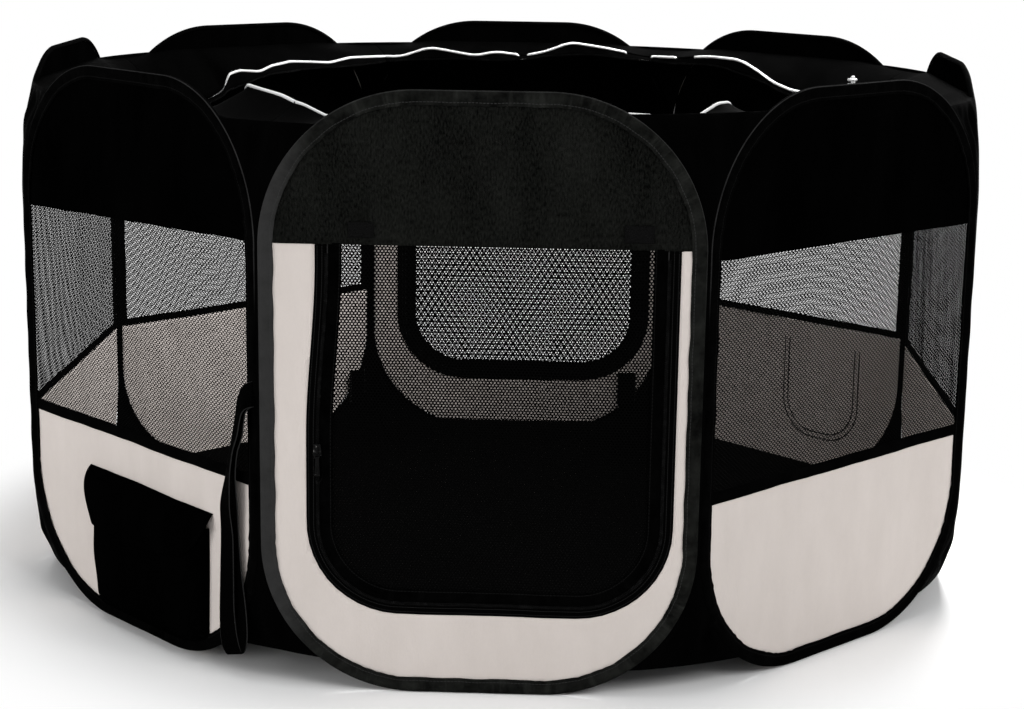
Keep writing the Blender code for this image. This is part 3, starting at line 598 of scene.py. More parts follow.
def coil_piece(name, loops, sides, place, flat=False):
    """A zip's coil. Each of its loops is eight points with these sides."""
    points = loops.reshape(-1, 3)
    faces = (np.array(sides)[None] + 8 * np.arange(len(loops))[:, None, None]).reshape(-1, 4)
    coil = sewn(name, points, faces, place, coil_nylon, points[:, :2] if flat else points[:, [0, 2]], flat)
    return coil


def coil_half(index, name, side):
    """One half of a zip's coil: loops of nylon that lean over the middle of the chain from one side."""
    line, ways = door_line(DOORS[index], CHAIN_IN, COIL_TOP)
    length = run_of(line)
    at = np.arange(COIL_PITCH * (0.5 if side < 0 else 1), length[-1], COIL_PITCH)
    x, z, wx, wz = (np.interp(at, length, values) for values in (*line.T, *ways.T))
    # the loop's section: place across the chain, half its thickness, and place outwards
    section = (
        (-0.0004, 0.00035, 0.0005), (0.0001, 0.00055, 0.0014), (0.0013, 0.00052, 0.0015), (0.0022, 0.0004, 0.0004),
    )
    rows = []
    for across, half, out in section:
        for way in (-half, half):
            px, pz = x + side * across * wx - way * wz, z + side * across * wz + way * wx
            rows.append(np.column_stack([px, crease(index, x, z) - out, pz]))
    sides = np.array([(0, 2, 3, 1), (2, 4, 5, 3), (4, 6, 7, 5), (0, 6, 4, 2), (1, 3, 5, 7), (0, 1, 7, 6)])
    return coil_piece(name, np.stack(rows, 1), sides[:, ::-1] if side < 0 else sides, panel_place(index))


for index, shift in DOORS.items():
    panel = PANELS[index]
    low = cloth_rim[cloth_rim[:, 1] < SURROUND_TOP]
    outer = np.roll(low, -int(np.argmax(low[:, 0] < -0.19)), axis=0)
    outer = np.vstack([[outer[0, 0], SURROUND_TOP], outer, [outer[-1, 0], SURROUND_TOP]])
    inner = door_line(shift, 0.0, SURROUND_TOP)[0][::3]
    points, faces = cut_sheet(np.vstack([outer, inner[::-1]]), (0, 0), (HEIGHT, HEIGHT))
    x, z = points[:, 0], points[:, 2]
    turned_edge = smooth(1 - np.abs(outside_door(shift, x, z) - 0.003) / 0.005)
    points[:, 1] = crease(index, x, z) - 0.0005 * turned_edge
    uv = np.column_stack([x + index, z])
    surround = thickened(sewn(panel + "_surround", points, faces, panel_place(index), cream_oxford, uv), CLOTH)
    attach(surround, BODIES[panel])
    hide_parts(panel + "_door_surround")

    tucked, rolled = (0.009, 0.0252) if index == 0 else (0.0045, 0.0216)
    under = ((-tucked, -0.0009), (-0.002, -0.0009), (0.002, -0.0006), (0.006, -0.0002), (0.0092, 0.0), (0.0106, 0.0001))
    strip = door_ribbon(index, panel + "_zip_strip", under, STRIP_TOP, zip_tape, ZIP_CLOTH)
    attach(strip, BODIES[panel])
    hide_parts(panel + "_zip_tape")
    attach(coil_half(index, panel + "_coil", -1), BODIES[panel])

    door = panel + "_door"
    border = ((0.0104, -0.0008), (0.0116, -0.0005), (0.0130, 0.0), (0.0150, 0.0005), (0.0172, 0.0009))
    border += ((rolled - 0.0025, 0.0009), (rolled, 0.0005))
    leaf = door_ribbon(index, panel + "_door_border", border, BORDER_TOP, binding_tape, CLOTH)
    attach(leaf, door)
    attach(coil_half(index, panel + "_door_coil", 1), door)

    def in_door(x, z):
        return outside_door(shift, x, z) < -NET_IN

    across, up = (0.0033, 0.00256) if index == 0 else (0.00333, 0.00258)
    area = knitted(in_door, (shift - 0.16, shift + 0.16, 0.09, NET_TOP), across, up, 0.43)
    net = net_piece(panel + "_door_net", index, area)
    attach(net, door)
    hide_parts(panel + "_door_leaf")


# Zip sliders. Each door's zip has a small cast slider, painted black and rubbed bright on its edges,
# with a ridged pull that hangs from its bridge on a ring, and a thin loop for the fingers beside it.
slider_metal, here = finish_named("dark_zip_metal", 0.42, 0.2, metallic=0.7)
worn = here.coords("Object").noise(330.0, 4.0)
edges = here.node("ShaderNodeNewGeometry", {}, {}, "Pointiness")
worn_edge = here.math("MINIMUM", here.math("MAXIMUM", (edges - 0.60) * 7.0, 0.0), 1.0)
worn_edge = worn_edge * here.math("MAXIMUM", worn - 0.58, 0.0) * 3.5
coloured(mixed(worn_edge, grey(0.0015), grey(0.40, 1, 0.98, 0.95)))


def new_block(size, at, bevel, segments=3):
    """A block with rounded edges, shaped from a cube."""
    bpy.ops.object.select_all(action="DESELECT")
    bpy.ops.mesh.primitive_cube_add(size=1, location=at)
    block = bpy.context.active_object
    block.scale = size
    bpy.ops.object.transform_apply(location=True, rotation=False, scale=True)
    rounding = block.modifiers.new("rounding", "BEVEL")
    rounding.width = bevel
    rounding.segments = segments
    bpy.ops.object.modifier_apply(modifier=rounding.name)
    return block


def narrowed(block, height_above, factor):
    """Draws in the part of a block above a height, as on a slider's nose."""
    bpy.ops.object.mode_set(mode="EDIT")
    bpy.ops.mesh.select_mode(type="VERT")
    bpy.ops.mesh.select_all(action="DESELECT")
    bpy.ops.object.mode_set(mode="OBJECT")
    for vert in block.data.vertices:
        vert.select = vert.co.z > height_above
    bpy.ops.object.mode_set(mode="EDIT")
    bpy.ops.transform.resize(value=(factor, 1, 1))
    bpy.ops.object.mode_set(mode="OBJECT")
    return block


def new_ring(radius, wire, segments, at, squeeze=1.0):
    """A ring of wire that stands upright and faces outwards; segments are round it and round the wire."""
    bpy.ops.object.select_all(action="DESELECT")
    bpy.ops.mesh.primitive_torus_add(
        major_radius=radius, minor_radius=wire, major_segments=segments[0], minor_segments=segments[1],
        location=at, rotation=(math.radians(90), 0, 0),
    )
    ring = bpy.context.active_object
    ring.scale = (squeeze, 1, 1)
    bpy.ops.object.transform_apply()
    return ring


def joined(parts, metal):
    """Makes one casting of its parts."""
    bpy.ops.object.select_all(action="DESELECT")
    for part in parts:
        part.select_set(True)
    bpy.context.view_layer.objects.active = parts[0]
    bpy.ops.object.join()
    casting = bpy.context.active_object
    casting.data.materials.clear()
    casting.data.materials.append(metal)
    bpy.ops.object.shade_smooth_by_angle(angle=math.radians(40))
    return casting


parts = [
    narrowed(new_block((0.0086, 0.0012, 0.0112), (0, -0.0024, 0), 0.0005), 0.003, 0.72),
    narrowed(new_block((0.0086, 0.0010, 0.0112), (0, 0.0012, 0), 0.0004), 0.003, 0.72),
    new_block((0.0020, 0.0040, 0.0034), (0, -0.0006, 0.0034), 0.0004),
    new_block((0.0018, 0.0010, 0.0078), (0, -0.0044, 0.0006), 0.0004),
    new_block((0.0018, 0.0022, 0.0012), (0, -0.0036, 0.0042), 0.0004),
    new_block((0.0018, 0.0022, 0.0012), (0, -0.0036, -0.0030), 0.0004),
    narrowed(new_block((0.0054, 0.0012, 0.0190), (0, -0.0041, -0.0160), 0.0005), -0.012, 0.62),
]
parts += [new_block((0.0040, 0.0006, 0.0009), (0, -0.0049, -0.0170 - 0.0019 * rib), 0.0002, 2) for rib in range(4)]
parts.append(new_ring(0.0021, 0.00055, (28, 10), (0, -0.0041, -0.0062)))
parts.append(new_ring(0.0155, 0.00035, (48, 8), (0.0012, -0.0054, -0.0160), 0.30))
pattern = joined(parts, slider_metal)
SLIDER_HEIGHT = 0.240
for index, shift in DOORS.items():
    panel = PANELS[index]
    mesh = pattern.data.copy()
    mesh.transform(Matrix.Translation((shift - DOOR_HALF + CHAIN_IN, -0.0004, SLIDER_HEIGHT)))
    mesh.transform(panel_place(index))
    slider = placed(panel + "_slider", mesh)
    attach(slider, panel + "_door_slider")
    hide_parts(panel + "_zip_slider")
bpy.data.objects.remove(pattern)


# Hook-and-loop patches. Two small patches of loop tape are sewn to the hem over the front door, and
# hold the door when it is rolled up.
loop_pile, here = finish_named("black_loop_pile", 0.95, 0.03)
loops = here.node("ShaderNodeTexVoronoi", {}, {"Vector": here.coords("Object"), "Scale": 1150.0})
coloured(mixed(loops * 1.2, grey(0.0065), grey(0.0018)), loops, 0.9, 0.0007)
for name, left, right, low, high in (("left", -0.1235, -0.100, 0.443, 0.4575), ("right", 0.131, 0.158, 0.443, 0.459)):
    x, z = np.meshgrid(np.linspace(left, right, 22), np.linspace(low, high, 12))
    edge = np.minimum(np.minimum(x - left, right - x), np.minimum(z - low, high - z))
    rows = [over_wall(0, *line) for line in zip(x, z, 0.0013 + 0.0009 * smooth(edge / 0.0022))]
    patch = rowed("front_" + name + "_patch", rows, panel_place(0), loop_pile, 0.0005)
    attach(patch, "front_panel")
    high - low


# Corner gussets. Where the round corners of two panels part, an hourglass of limp black cloth closes
# the gap. Its edges are sewn into both bindings, and it cuts the corner from one round to the other.
limp_cloth = oxford("limp_black_cloth", grey(0.0001), grey(0.0011), 0.6, 0.002)
# heights where each gusset ends at its corner
GUSSET_FOOT = (0.030, 0.030, 0.030, 0.030, 0.030, 0.030, 0.032, 0.038)
GUSSET_TOP = (0.561, 0.549, 0.549, 0.549, 0.549, 0.549, 0.549, 0.547)
SEWN_IN = 0.0125  # the gusset's edge inside a binding
OUT = 0.0009  # how far it stands outside the wall's plane there
NARROWEST = 0.002  # half the gusset's width between the straight sides of two panels


def gap(z):
    """How far a panel's round outline stands back from the corner line at a height."""
    depth = np.clip(np.maximum(RADIUS - z, z - (HEIGHT - RADIUS)), 0, RADIUS)
    return RADIUS - np.sqrt(RADIUS**2 - depth**2)


def gusset(corner, name, first, last):
    """Part of a gusset, from one side to the other as its share goes from first to last."""
    here_place, next_place = (np.array(panel_place(k % 8)) for k in (corner, corner + 1))

    def on_wall(place, x):
        return (np.array([x, -OUT, 0, 1]) @ place.T)[:3]

    post = on_wall(here_place, CORNER)
    inwards = -post / np.hypot(*post[:2])
    inwards[2] = 0
    turns = np.random.default_rng(300 + corner).uniform(0, 6.28, 4)
    low, high = GUSSET_FOOT[corner], GUSSET_TOP[corner]
    share = np.linspace(first, last, 49)
    along = np.where(share[:, None] < 0, -here_place[:3, 0], next_place[:3, 0])
    rows, uv = [], []
    for z in np.linspace(low - 0.003, high, 97):
        open_by = float(gap(z))
        film = max(open_by, NARROWEST)
        across = share * (open_by + SEWN_IN)
        part = np.clip(across / film / 2 + 0.5, 0, 1)[:, None]
        left, right = on_wall(here_place, CORNER - film), on_wall(next_place, -CORNER + film)
        pull = 1 - 0.65 * smooth((film - 0.01) / 0.03)
        middle = (left + right) / 2 * (1 - pull) + post * pull
        place = left * (1 - part) ** 2 + middle * 2 * part * (1 - part) + right * part**2
        place = place + np.clip(np.abs(across) - film, 0, None)[:, None] * along
        loose = smooth((open_by - 0.004) / 0.03) * smooth((1 - np.abs(across) / film) / 0.35)
        loose = loose * smooth((z - low) / 0.03) * smooth((high - z) / 0.02)
        fold = 0.0026 * np.sin(across * 150 + turns[0] + 9 * z) + 0.0020 * np.sin(across * 260 + turns[1] - 14 * z)
        fold = fold + 0.0014 * np.sin(z * 95 + turns[2] + across * 40)
        place = place + ((0.002 + fold) * loose)[:, None] * inwards
        place[:, 2] = z
        rows.append(place)
        uv.append(np.column_stack([across, place[:, 2]]))
    return rowed(name, rows, Matrix(), limp_cloth, 0.0004, uv)


for corner, panel in enumerate(PANELS):
    node, after = panel + "_corner_gusset", PANELS[(corner + 1) % 8]
    if corner == 4:
        # the ring of panels is opened here, so each panel carries half of the gusset
        for name, first, last, body in (("near", -1, 0, panel), ("far", 0, 1, after)):
            half = gusset(corner, f"{panel}_gusset_{name}", first, last)
            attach(half, BODIES[body])
            if name == "near":
                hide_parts(node)
        continue
    cloth = gusset(corner, panel + "_gusset", -1, 1)
    middle = panel_place(corner) @ Vector((CORNER, 0, 0.3))
    walls = [panel_place(k % 8).to_3x3() @ Vector((1, 0, 0)) for k in (corner + 1, corner)]
    along = (walls[0] + walls[1]).normalized()
    middle - along * 0.012
    middle + along * 0.012
    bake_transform(cloth)
    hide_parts(node)


# Floor. One octagon of coated black cloth, sewn to the foot of the wall all round. It lies flat and
# turns up at its rim, most at the corners, where it meets the gussets.
coated_cloth = oxford("coated_black_cloth", grey(0.0002), grey(0.0009), 0.7, 0.006)


def corner_cut(at, reach):
    """How much further in than the wall a seam runs near a corner, where it follows the gusset."""
    near = np.maximum(reach - CORNER + at, 0) / reach
    return 0.3316 * reach * near**1.25 / 1.1374


def wedge(share, depth, height):
    """Points across a panel's part of the octagon, from corner to corner at a depth in from the wall."""
    return np.column_stack([share * CORNER * (1 - depth / APOTHEM), depth, height])


for index, panel in enumerate(PANELS):
    place = panel_place(index)
    share = np.linspace(-1, 1, 61)
    at = np.abs(share * CORNER)
    feet = np.where(share < 0, GUSSET_FOOT[index - 1], GUSSET_FOOT[index])
    start = 0.0045 - 0.0037 * smooth((at - 0.12) / 0.03) + corner_cut(at, float(gap(0.030)))
    rise = gap(0.0) - np.sqrt(RADIUS**2 - np.clip(at - (HALF - RADIUS), 0, 0.146) ** 2)
    rise = np.maximum(np.minimum(rise, feet), 0.012 if index else 0.004)
    rows = [
        wedge(share, start + (APOTHEM - 0.0003 - start) * part, rise * (1 - smooth(part / 0.15)))
        for part in np.concatenate([np.linspace(0, 0.17, 18), np.linspace(0.19, 1, 34)])
    ]
    turned = np.array(place)
    uv = [row @ turned[:2, :3].T + turned[:2, 3] for row in rows]
    for row, (x, y) in zip(rows, (spot.T for spot in uv)):
        wrinkle = np.sin(x * 21 + 2.1 * np.sin(y * 9)) + 0.7 * np.sin(y * 33 + 1.7 * np.sin(x * 13 + 1))
        wrinkle = wrinkle + 0.5 * np.sin((x + y) * 57 + 2)
        row[:, 2] += 0.0010 + 0.0006 * (wrinkle + 2.2) / 2.2 * smooth((row[:, 1] - 0.004) / 0.05)
    gore = rowed(panel + "_floor", rows, place, coated_cloth, CLOTH, uv)
    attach(gore, BODIES[panel])
    if index == 0:
        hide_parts("floor_cloth")
    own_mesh(gore)


# Top flange. A limp strip is sewn inside the top edge and droops between the corners. It holds half of
# the zip for a cover: white piping along the fold, and under it a hanging tape with the coil.
piping_cord, here = finish_named("white_piping", 0.7, 0.3)
place_at = here.coords("Object")
coloured(mixed(place_at.noise(60.0, 4.0), grey(0.66), grey(0.84)), place_at.noise(1400.0), 0.4, 0.0003)

# heights of the flange's free edge on the way round, a panel being 1 and the front's middle 0
DROOP = np.array([
    (-0.48, 0.557), (-0.41, 0.546), (0.0, 0.538), (0.36, 0.553), (0.45, 0.552), (0.51, 0.543), (0.57, 0.552),
    (0.64, 0.5615), (0.69, 0.5615), (0.703, 0.546), (0.8, 0.536), (1.0, 0.535), (1.12, 0.546), (1.16, 0.5655),
    (1.2, 0.5655), (1.24, 0.546), (1.5, 0.520), (2.0, 0.512), (2.5, 0.511), (2.83, 0.5131),
    (2.93, 0.5203), (3.03, 0.5395), (3.08, 0.546), (3.22, 0.5464), (3.39, 0.5408), (3.52, 0.539), (3.66, 0.5492),
    (3.81, 0.5563), (3.9, 0.5436), (3.98, 0.5378), (4.09, 0.5425), (4.16, 0.5366), (4.33, 0.5463), (4.44, 0.5335),
    (4.67, 0.5344), (4.76, 0.5292), (4.94, 0.5335), (5.03, 0.5298), (5.08, 0.523), (5.16, 0.5256), (5.21, 0.5210),
    (5.222, 0.504), (5.30, 0.492), (5.6, 0.490), (6.0, 0.490), (6.6, 0.500), (7.0, 0.532), (7.25, 0.540),
    (7.27, 0.545), (7.29, 0.5698), (7.44, 0.5635), (7.52, 0.557),
])
FLANGE_SEAM, FLANGE_DEEP = 0.5515, 0.0655
PIPING_RADIUS = (0.0021, 0.0017)
# stretches on the way round where the edge is turned under and hides the piping
TURNED_UNDER = ((3.300, 3.388), (3.512, 3.596), (3.970, 3.998), (5.224, 6.2))


def droop(round_at, ease):
    """Height of the free edge at a place on the way round, evened out over a distance."""
    first = DROOP[0, 0]
    places = ((round_at + away * ease - first) % 8 + first for away in np.linspace(-1, 1, 9))
    return sum(np.interp(place, *DROOP.T) for place in places) / 9


for index, panel in enumerate(PANELS):
    place = panel_place(index)
    share = np.linspace(-1, 1, 121)
    round_at = index + share / 2
    turn = round_at / 8 * math.tau
    free_in = FLANGE_DEEP + 0.0022 * (np.sin(17 * turn + 3.1) + 0.7 * np.sin(29 * turn + 0.4))
    free_high = droop(round_at, 0.012 if index in (0, 1, 5, 7) else 0.03)
    at = np.abs(share) * CORNER
    corner_high = np.where(share < 0, GUSSET_TOP[index - 1], GUSSET_TOP[index]) - 0.0035
    root = 0.0050 - 0.0045 * smooth((at - 0.11) / 0.03) + corner_cut(at, gap(corner_high))
    root_high = FLANGE_SEAM + (corner_high - FLANGE_SEAM) * smooth((at - 0.11) / 0.08)
    rows = []
    for part in np.linspace(0, 1, 12):
        height = root_high + (free_high - root_high) * part**1.6
        height = height + 0.0012 * np.sin(part * 9 + share * 14 + index) * part * (1 - share**2)
        rows.append(wedge(share, root + (free_in - root) * part, height))
    strip = rowed(panel + "_flange", rows, place, limp_cloth, CLOTH, [row[:, :2] + index for row in rows])
    if index == 0:
        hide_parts("top_flange")

    under = sum(smooth((round_at - a) / 0.012 + 0.5) * smooth((b - round_at) / 0.012 + 0.5) for a, b in TURNED_UNDER)
    edge = wedge(share, free_in, free_high + 0.0006 - 0.0052 * under) - under[:, None] * (0, 0.006, 0)
    turns = np.radians(np.linspace(0, 360, 11))
    wide, tall = PIPING_RADIUS
    points, faces = gridded([edge + (0, wide * math.cos(turn), tall * math.sin(turn)) for turn in turns])
    piping = sewn(panel + "_piping", points, faces[:, ::-1], place, piping_cord, points[:, :2])

    lower_edge = np.minimum(droop(round_at, 0.16) - 0.0075, free_high - 0.0045)
    rows = []
    for part in np.linspace(0, 1, 5):
        depth = free_in + 0.0035 * part + 0.001 * np.sin(share * 31 + index)
        rows.append(wedge(share, depth, (free_high - 0.001) * (1 - part) + lower_edge * part))
    uv = [np.column_stack([row[:, 0] + index, row[:, 2] * 0.01]) for row in rows]
    tape = rowed(panel + "_cover_tape", rows, place, zip_tape, ZIP_CLOTH, uv)

    length = run_of(rows[-1])
    at = np.arange(0.001, length[-1], 0.0024)
    centre = np.column_stack([np.interp(at, length, values) for values in rows[-1].T])
    box = np.array([(x, y, z) for x in (-0.0006, 0.0006) for y in (-0.0009, 0.0009) for z in (-0.0016, 0.0008)])
    sides = [(0, 1, 3, 2), (4, 6, 7, 5), (0, 4, 5, 1), (2, 3, 7, 6), (0, 2, 6, 4), (1, 5, 7, 3)]
    cover_coil = coil_piece(panel + "_cover_coil", centre[:, None] + box[None], sides, place, flat=True)
    for piece in (strip, piping, tape, cover_coil):
        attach(piece, BODIES[panel])
        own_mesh(piece)


# Cover zip's slider. A small bright casting stays on the flange's half of the zip, where the flange
# stands up beside the front. It is two plates, joined by a post, with a stub of its pull on top.
runner_metal, here = finish_named("bright_zip_metal", 0.34, 0.5, metallic=0.6)
coloured(mixed(here.coords("Object").noise(420.0, 3.0), grey(0.60), grey(0.86)))
place = panel_place(1)
runner = joined([
    new_block((0.0082, 0.0070, 0.0026), (0.0735, 0.0655, 0.5742), 0.0008),
    new_block((0.0082, 0.0070, 0.0020), (0.0735, 0.0655, 0.5694), 0.0007),
    new_block((0.0036, 0.0030, 0.0042), (0.0750, 0.0655, 0.5718), 0.0004),
    new_block((0.0038, 0.0026, 0.0030), (0.0742, 0.0655, 0.5764), 0.0007),
], runner_metal)
runner.name = "cover_zip_slider"
runner.data.transform(place)
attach(runner, BODIES["front_right"])
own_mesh(runner)


# Storage pocket. A deep patch pocket of black oxford is sewn to the outside of the front left panel,
# its foot caught in the binding. A flap sewn above its mouth hangs over it, one corner curled up.
POCKET_CLOTH = 0.0007  # thickness
share = np.linspace(-1, 1, 64)
rows = []
for down in np.linspace(0, 1, 44):
    left, right = -0.0868 + 0.0070 * down, 0.1266 - 0.0036 * down
    x = left + (right - left) * (share + 1) / 2
    high = 0.1475 - 0.0070 * share
    low = RADIUS - np.sqrt(0.137**2 - np.maximum(np.abs(x) - (HALF - RADIUS), 0) ** 2)
    z = high + (low - high) * down
    side = np.sin(math.pi / 2 * np.clip((x - left) / 0.030, 0, 1)) * (1 - np.maximum(share, 0) ** 14) ** 0.5
    side = side * (1 - smooth((down - 0.80) / 0.20) ** 2.2) ** 0.5
    full = (0.0115 + 0.0065 * math.sin(math.pi * min(down * 0.85, 1)) ** 0.8) * side
    full = full + (0.0012 * np.sin(x * 70 + 80 * z) + 0.0008 * np.sin(x * 160 - z * 90)) * side * down
    rows.append(over_wall(7, x, z, 0.0007 + full))
pocket = rowed("pocket_shell", rows, panel_place(7), black_oxford, POCKET_CLOTH, turned=True)
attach(pocket, "front_left_panel")
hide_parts("storage_pocket")

# the flap's lower edge from left to right: share of its width, height, place out, and place out half way up
FLAP_EDGE = np.array([
    (-1.0, 0.0961, 0.0040, 0.0100), (-0.8, 0.0975, 0.0120, 0.0165), (-0.3, 0.1010, 0.0215, 0.0205),
    (0.3, 0.1035, 0.0218, 0.0205), (0.72, 0.1090, 0.0190, 0.0180), (0.88, 0.1220, 0.0150, 0.0110),
    (1.0, 0.1440, 0.0100, 0.0050),
])
share = np.linspace(-1, 1, 60)
lower, out_low, out_half = (np.interp(share, FLAP_EDGE[:, 0], FLAP_EDGE[:, k]) for k in (1, 2, 3))
seam = 0.15815 - 0.00135 * share
rounded = (out_half - 0.5 * out_low) / 0.4375
rows = []
for part in np.linspace(0, 1, 30):
    z = seam + (lower - seam) * part**1.1
    out = 0.0006 + rounded * (1 - (1 - part) ** 3) * (1 - part) + out_low * part
    out = out + (0.0012 * np.sin(share * 5.2 + 1.0) + 0.0008 * np.sin(share * 13 + part * 3)) * part * (1 - share**4)
    x = -0.0902 + 0.223 * (share + 1) / 2 + 0.0039 * part * np.clip(-share, 0, 1) ** 3
    rows.append(over_wall(7, x, z, out))
flap = rowed("pocket_flap_cloth", rows, panel_place(7), black_oxford, 0.0008, turned=True)
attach(flap, "pocket_flap")
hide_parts("pocket_flap")


# Bottle pocket. A rounded patch pocket sits outside the back right panel. From inside the pen only the
# double seam that holds it shows on the cream cloth.
BOTTLE_X, BOTTLE_TOP, BOTTLE_FOOT, BOTTLE_ROUND = -0.077, 0.178, 0.050, 0.050
share = np.linspace(-1, 1, 48)
rows = []
for down in np.linspace(0, 1, 36):
    z = np.full_like(share, BOTTLE_TOP - (BOTTLE_TOP - BOTTLE_FOOT) * down)
    low = min(max((BOTTLE_FOOT + BOTTLE_ROUND - z[0]) / BOTTLE_ROUND, 0.0), 1.0)
    x = BOTTLE_X + share * (0.0125 + BOTTLE_ROUND * math.sqrt(1 - low**2))
    full = (0.0225 - 0.010 * down) * (1 - np.abs(share) ** 6) ** 0.6 * (1 - smooth((down - 0.75) / 0.25) ** 2) ** 0.5
    full = full + 0.0010 * np.sin(x * 130 + 30 * z) * (1 - share**2)
    rows.append(over_wall(3, x, z, 0.0007 + np.maximum(full, 0)))
bottle = rowed("bottle_pocket_shell", rows, panel_place(3), black_oxford, POCKET_CLOTH, turned=True)
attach(bottle, "back_right_panel")
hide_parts("bottle_pocket")
seam_thread, here = finish_named("black_seam_thread", 0.6, 0.2)
twist = here.math("SINE", here.coords("UV").axis(0) * (math.tau / 0.0011))
coloured(mixed(twist * 0.5 + 0.5, grey(0.006), grey(0.022)))
for name, inset in (("outer", 0.0), ("inner", 0.0075)):
    half, corner, foot = 0.0625 - inset, BOTTLE_ROUND - inset, BOTTLE_FOOT + inset
    turn = np.radians(np.linspace(180, 360, 60))
    rise = np.linspace(foot + corner, BOTTLE_TOP, 20)
    across = (half - corner) * np.repeat([-1, 1], 30) + corner * np.cos(turn)
    x = BOTTLE_X + np.concatenate([[-half] * 20, across, [half] * 20])
    line = np.column_stack([x, np.concatenate([rise[::-1], foot + corner + corner * np.sin(turn), rise])])
    ahead = np.gradient(line, axis=0)
    ahead /= np.maximum(np.hypot(*ahead.T), 1e-9)[:, None]
    rows, uv = [], []
    for aside in np.linspace(-1, 1, 5):
        place = line + 0.0008 * aside * np.column_stack([-ahead[:, 1], ahead[:, 0]])
        rows.append(over_wall(3, *place.T, -0.0004 - 0.0006 * (1 - aside**2)))
        uv.append(np.column_stack([run_of(line), np.full(len(line), aside * 0.001)]))
    seam = rowed(f"bottle_pocket_{name}_seam", rows, panel_place(3), seam_thread, 0.0002, uv)
    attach(seam, "back_right_panel")


# Storage strap and floor tabs. The strap that ties the folded pen is black webbing, doubled and sewn
# in at the corner seam beside the front. Two short webbing tabs stand inside on the back floor seam.
webbing, here = finish_named("black_webbing", 0.75, 0.003)
along, across = here.coords("UV").axis(0), here.coords("UV").axis(1)
chevron = here.math("PINGPONG", across * (1 / 0.0062), 0.5)
ribs = here.math("SINE", (along + chevron * 0.003) * (math.tau / 0.0016))
# painted highlight: a light line along each edge of the webbing, where its edge catches the light
painted_edge_highlight = here.math("ABSOLUTE", across) > 0.0117
tint = mixed(painted_edge_highlight, mixed(ribs * 0.5 + 0.5, grey(0.0002), grey(0.0006)), grey(0.020))
coloured(tint, ribs, 0.6, 0.0004)

# the strap's way down and back up: place along the wall, out from it, height, lean and turn of its width
STRAP_WAY = np.array([
    (0.2060, 0.0046, 0.2920, -80, 10), (0.2000, 0.0052, 0.2900, -74, 14), (0.1940, 0.0066, 0.2860, -52, 20),
    (0.1895, 0.0076, 0.2780, -25, 26), (0.1872, 0.0084, 0.2660, -8, 28), (0.1841, 0.0090, 0.2510, 0, 27),
    (0.1785, 0.0100, 0.2335, 8, 31), (0.1724, 0.0100, 0.2080, 8, 29), (0.1653, 0.0095, 0.1745, 0, 14),
    (0.1685, 0.0090, 0.1480, 0, 8), (0.1673, 0.0090, 0.1115, 0, 5), (0.1657, 0.0088, 0.0735, 0, 2),
    (0.1666, 0.0085, 0.0480, 6, -5), (0.1693, 0.0080, 0.0330, 13, -9), (0.1755, 0.0067, 0.0240, 17, -4),
    (0.1808, 0.0055, 0.0330, 13, 1), (0.1821, 0.0050, 0.0480, 6, 1), (0.1811, 0.0050, 0.0735, 0, 3),
    (0.1747, 0.0050, 0.1115, 0, 5), (0.1723, 0.0050, 0.1480, 0, 9), (0.1738, 0.0055, 0.1745, 0, 14),
    (0.1744, 0.0065, 0.2080, 4, 23), (0.1799, 0.0070, 0.2335, 4, 25), (0.1880, 0.0062, 0.2510, 0, 24),
    (0.1900, 0.0056, 0.2660, -8, 26), (0.1915, 0.0050, 0.2780, -25, 24), (0.1955, 0.0044, 0.2860, -52, 18),
    (0.2010, 0.0038, 0.2900, -74, 12), (0.2065, 0.0034, 0.2920, -80, 8),
])
STRAP_WIDTH = 0.0244
fine = np.linspace(0, len(STRAP_WAY) - 1, 230)
way = np.column_stack([np.interp(fine, np.arange(len(STRAP_WAY)), values) for values in STRAP_WAY.T])
for _ in range(7):
    way[1:-1] = (way[:-2] + 2 * way[1:-1] + way[2:]) / 4
width = np.linspace(-STRAP_WIDTH / 2, STRAP_WIDTH / 2, 9)
rows, uv = [], []
for (x, out, z, lean, turn), run in zip(way, run_of(way[:, :3])):
    lean, turn = math.radians(lean), math.radians(turn)
    wide = np.array([math.cos(lean) * math.cos(turn), -math.sin(turn), math.sin(lean) * math.cos(turn)])
    rows.append(np.array([x, -out, z]) + width[:, None] * wide)
    uv.append(np.column_stack([np.full(9, run), width]))
strap = rowed("strap_webbing", rows, panel_place(7), webbing, 0.0010, uv)
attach(strap, "storage_strap")
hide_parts("storage_strap")

# a tab's way up and back down: place in from the wall, and height
TAB_WAY = (
    (0.0062, 0.037), (0.0066, 0.050), (0.0069, 0.065), (0.0072, 0.078), (0.0078, 0.085), (0.0088, 0.0878),
    (0.0098, 0.085), (0.0102, 0.076), (0.0100, 0.062), (0.0096, 0.050), (0.0092, 0.038),
)
for index, node, middle in ((4, "back_floor_tab", -0.159), (5, "back_left_floor_tab", -0.180)):
    across = np.linspace(-0.0130, 0.0130, 11)
    rows, uv = [], []
    for count, (inside, height) in enumerate(TAB_WAY):
        sway = 0.0010 * np.sin(np.linspace(0, 3, 11) + index + count * 0.2)
        depth = inside - 0.002 + sway * (height - 0.037) / 0.05
        rows.append(np.column_stack([middle + across, depth, np.full(11, height)]))
        uv.append(np.column_stack([np.full(11, count * 0.01), across]))
    tab = rowed(node + "_loop", rows, panel_place(index), webbing, 0.0011, uv)
    rounded = tab.modifiers.new("rounded", "SUBSURF")
    rounded.levels = rounded.render_levels = 1
    bpy.ops.object.modifier_apply(modifier=rounded.name)
    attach(tab, BODIES[PANELS[index]])
    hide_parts(node)


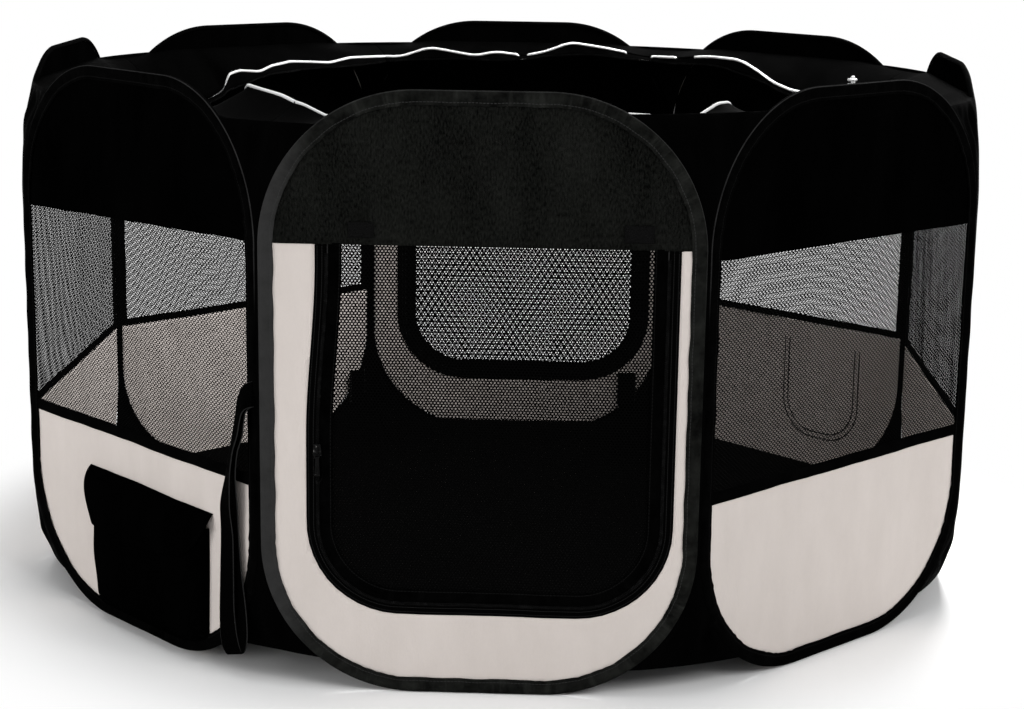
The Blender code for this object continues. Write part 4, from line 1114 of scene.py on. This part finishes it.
# Studio. The pen stands on a white floor that is lost in a white background, under wide soft lamps.
# The camera stands where the photograph was taken from, 0.76 metres up and 2.4 metres away.
def soft_lamp(name, spot, target, size, power):
    """A square lamp that faces a point."""
    light = bpy.data.lights.new(name, "AREA")
    light.energy = power
    light.size = size
    lamp = placed(name, light)
    lamp.location = spot
    lamp.rotation_euler = (Vector(target) - Vector(spot)).to_track_quat("-Z", "Y").to_euler()


def seen_by(here, *rays):
    """1 for these kinds of ray and 0 for others."""
    share = here.node("ShaderNodeLightPath", {}, {}, rays[0])
    for ray in rays[1:]:
        share = here.math("MAXIMUM", share, here.node("ShaderNodeLightPath", {}, {}, ray))
    return share


soft_lamp("key_lamp", (3.8, -3.8, 4.2), (0, 0, 0.2), 3.0, 175)
soft_lamp("fill_lamp", (-3.0, -2.2, 0.7), (0, 0, 0.3), 2.0, 55)
soft_lamp("top_lamp", (0, 0, 4.5), (0, 0.01, 0), 3.0, 60)
soft_lamp("inside_lamp", (0.6, 0.35, 1.05), (-0.36, 0.34, 0.2), 0.4, 17)

scene = bpy.context.scene
scene.view_settings.view_transform = "Standard"
world = bpy.data.worlds.new("studio")
scene.world = world
world.use_nodes = True
backdrop = world.node_tree.nodes["Background"]
backdrop.inputs["Color"].default_value = (1, 1, 1, 1)
white_for = seen_by(Tone(world.node_tree), "Is Camera Ray", "Is Glossy Ray", "Is Transmission Ray")
world.node_tree.links.new((white_for * 0.60 + 0.40).socket, backdrop.inputs["Strength"])

bpy.ops.object.select_all(action="DESELECT")
bpy.ops.mesh.primitive_circle_add(vertices=96, radius=9.0, fill_type="NGON", location=(0, 0, -0.0004))
floor = bpy.context.active_object
floor.name = "studio_floor"
floor_white, here = finish_named("studio_white", 0.9, 0.1)
tree = floor_white.node_tree
shader = tree.nodes["Principled BSDF"]
shader.inputs["Base Color"].default_value = (0.96, 0.96, 0.96, 1)
# further off, the floor goes over into plain white
away = here.node("ShaderNodeVectorMath", {"operation": "LENGTH"}, {0: here.coords("Object")}, "Value")
white = here.node("ShaderNodeEmission", {}, {"Color": (1, 1, 1, 1), "Strength": 1.0})
share = away.eased(0.545, 0.72) * seen_by(here, "Is Camera Ray", "Is Glossy Ray")
surface = here.node("ShaderNodeMixShader", {}, {0: share, 2: white})
tree.links.new(shader.outputs["BSDF"], surface.socket.node.inputs[1])
tree.links.new(surface.socket, tree.nodes["Material Output"].inputs["Surface"])
floor.data.materials.append(floor_white)

camera_data = bpy.data.cameras.new("camera")
camera_data.sensor_width = 36.0
camera_data.lens = 72.914
camera_data.clip_start = 0.05
camera = placed("camera", camera_data)
# the camera's distance, height, place round the pen, and how it looks down, aside and leans
DISTANCE, LEVEL = 2.3883, 0.7587
round_by, dip, aside, roll = (math.radians(angle) for angle in (2.244, 12.663, -0.285, 0.852))
heading = round_by + aside
ahead = Vector((-math.sin(heading) * math.cos(dip), math.cos(heading) * math.cos(dip), -math.sin(dip)))
rightwards = ahead.cross(Vector((0, 0, 1))).normalized()
upwards = rightwards.cross(ahead)
turned_right = rightwards * math.cos(roll) + upwards * math.sin(roll)
turned_up = upwards * math.cos(roll) - rightwards * math.sin(roll)
stand = Matrix((turned_right, turned_up, -ahead)).transposed().to_4x4()
stand.translation = Vector((DISTANCE * math.sin(round_by), -DISTANCE * math.cos(round_by), LEVEL))
camera.matrix_world = stand
scene.camera = camera
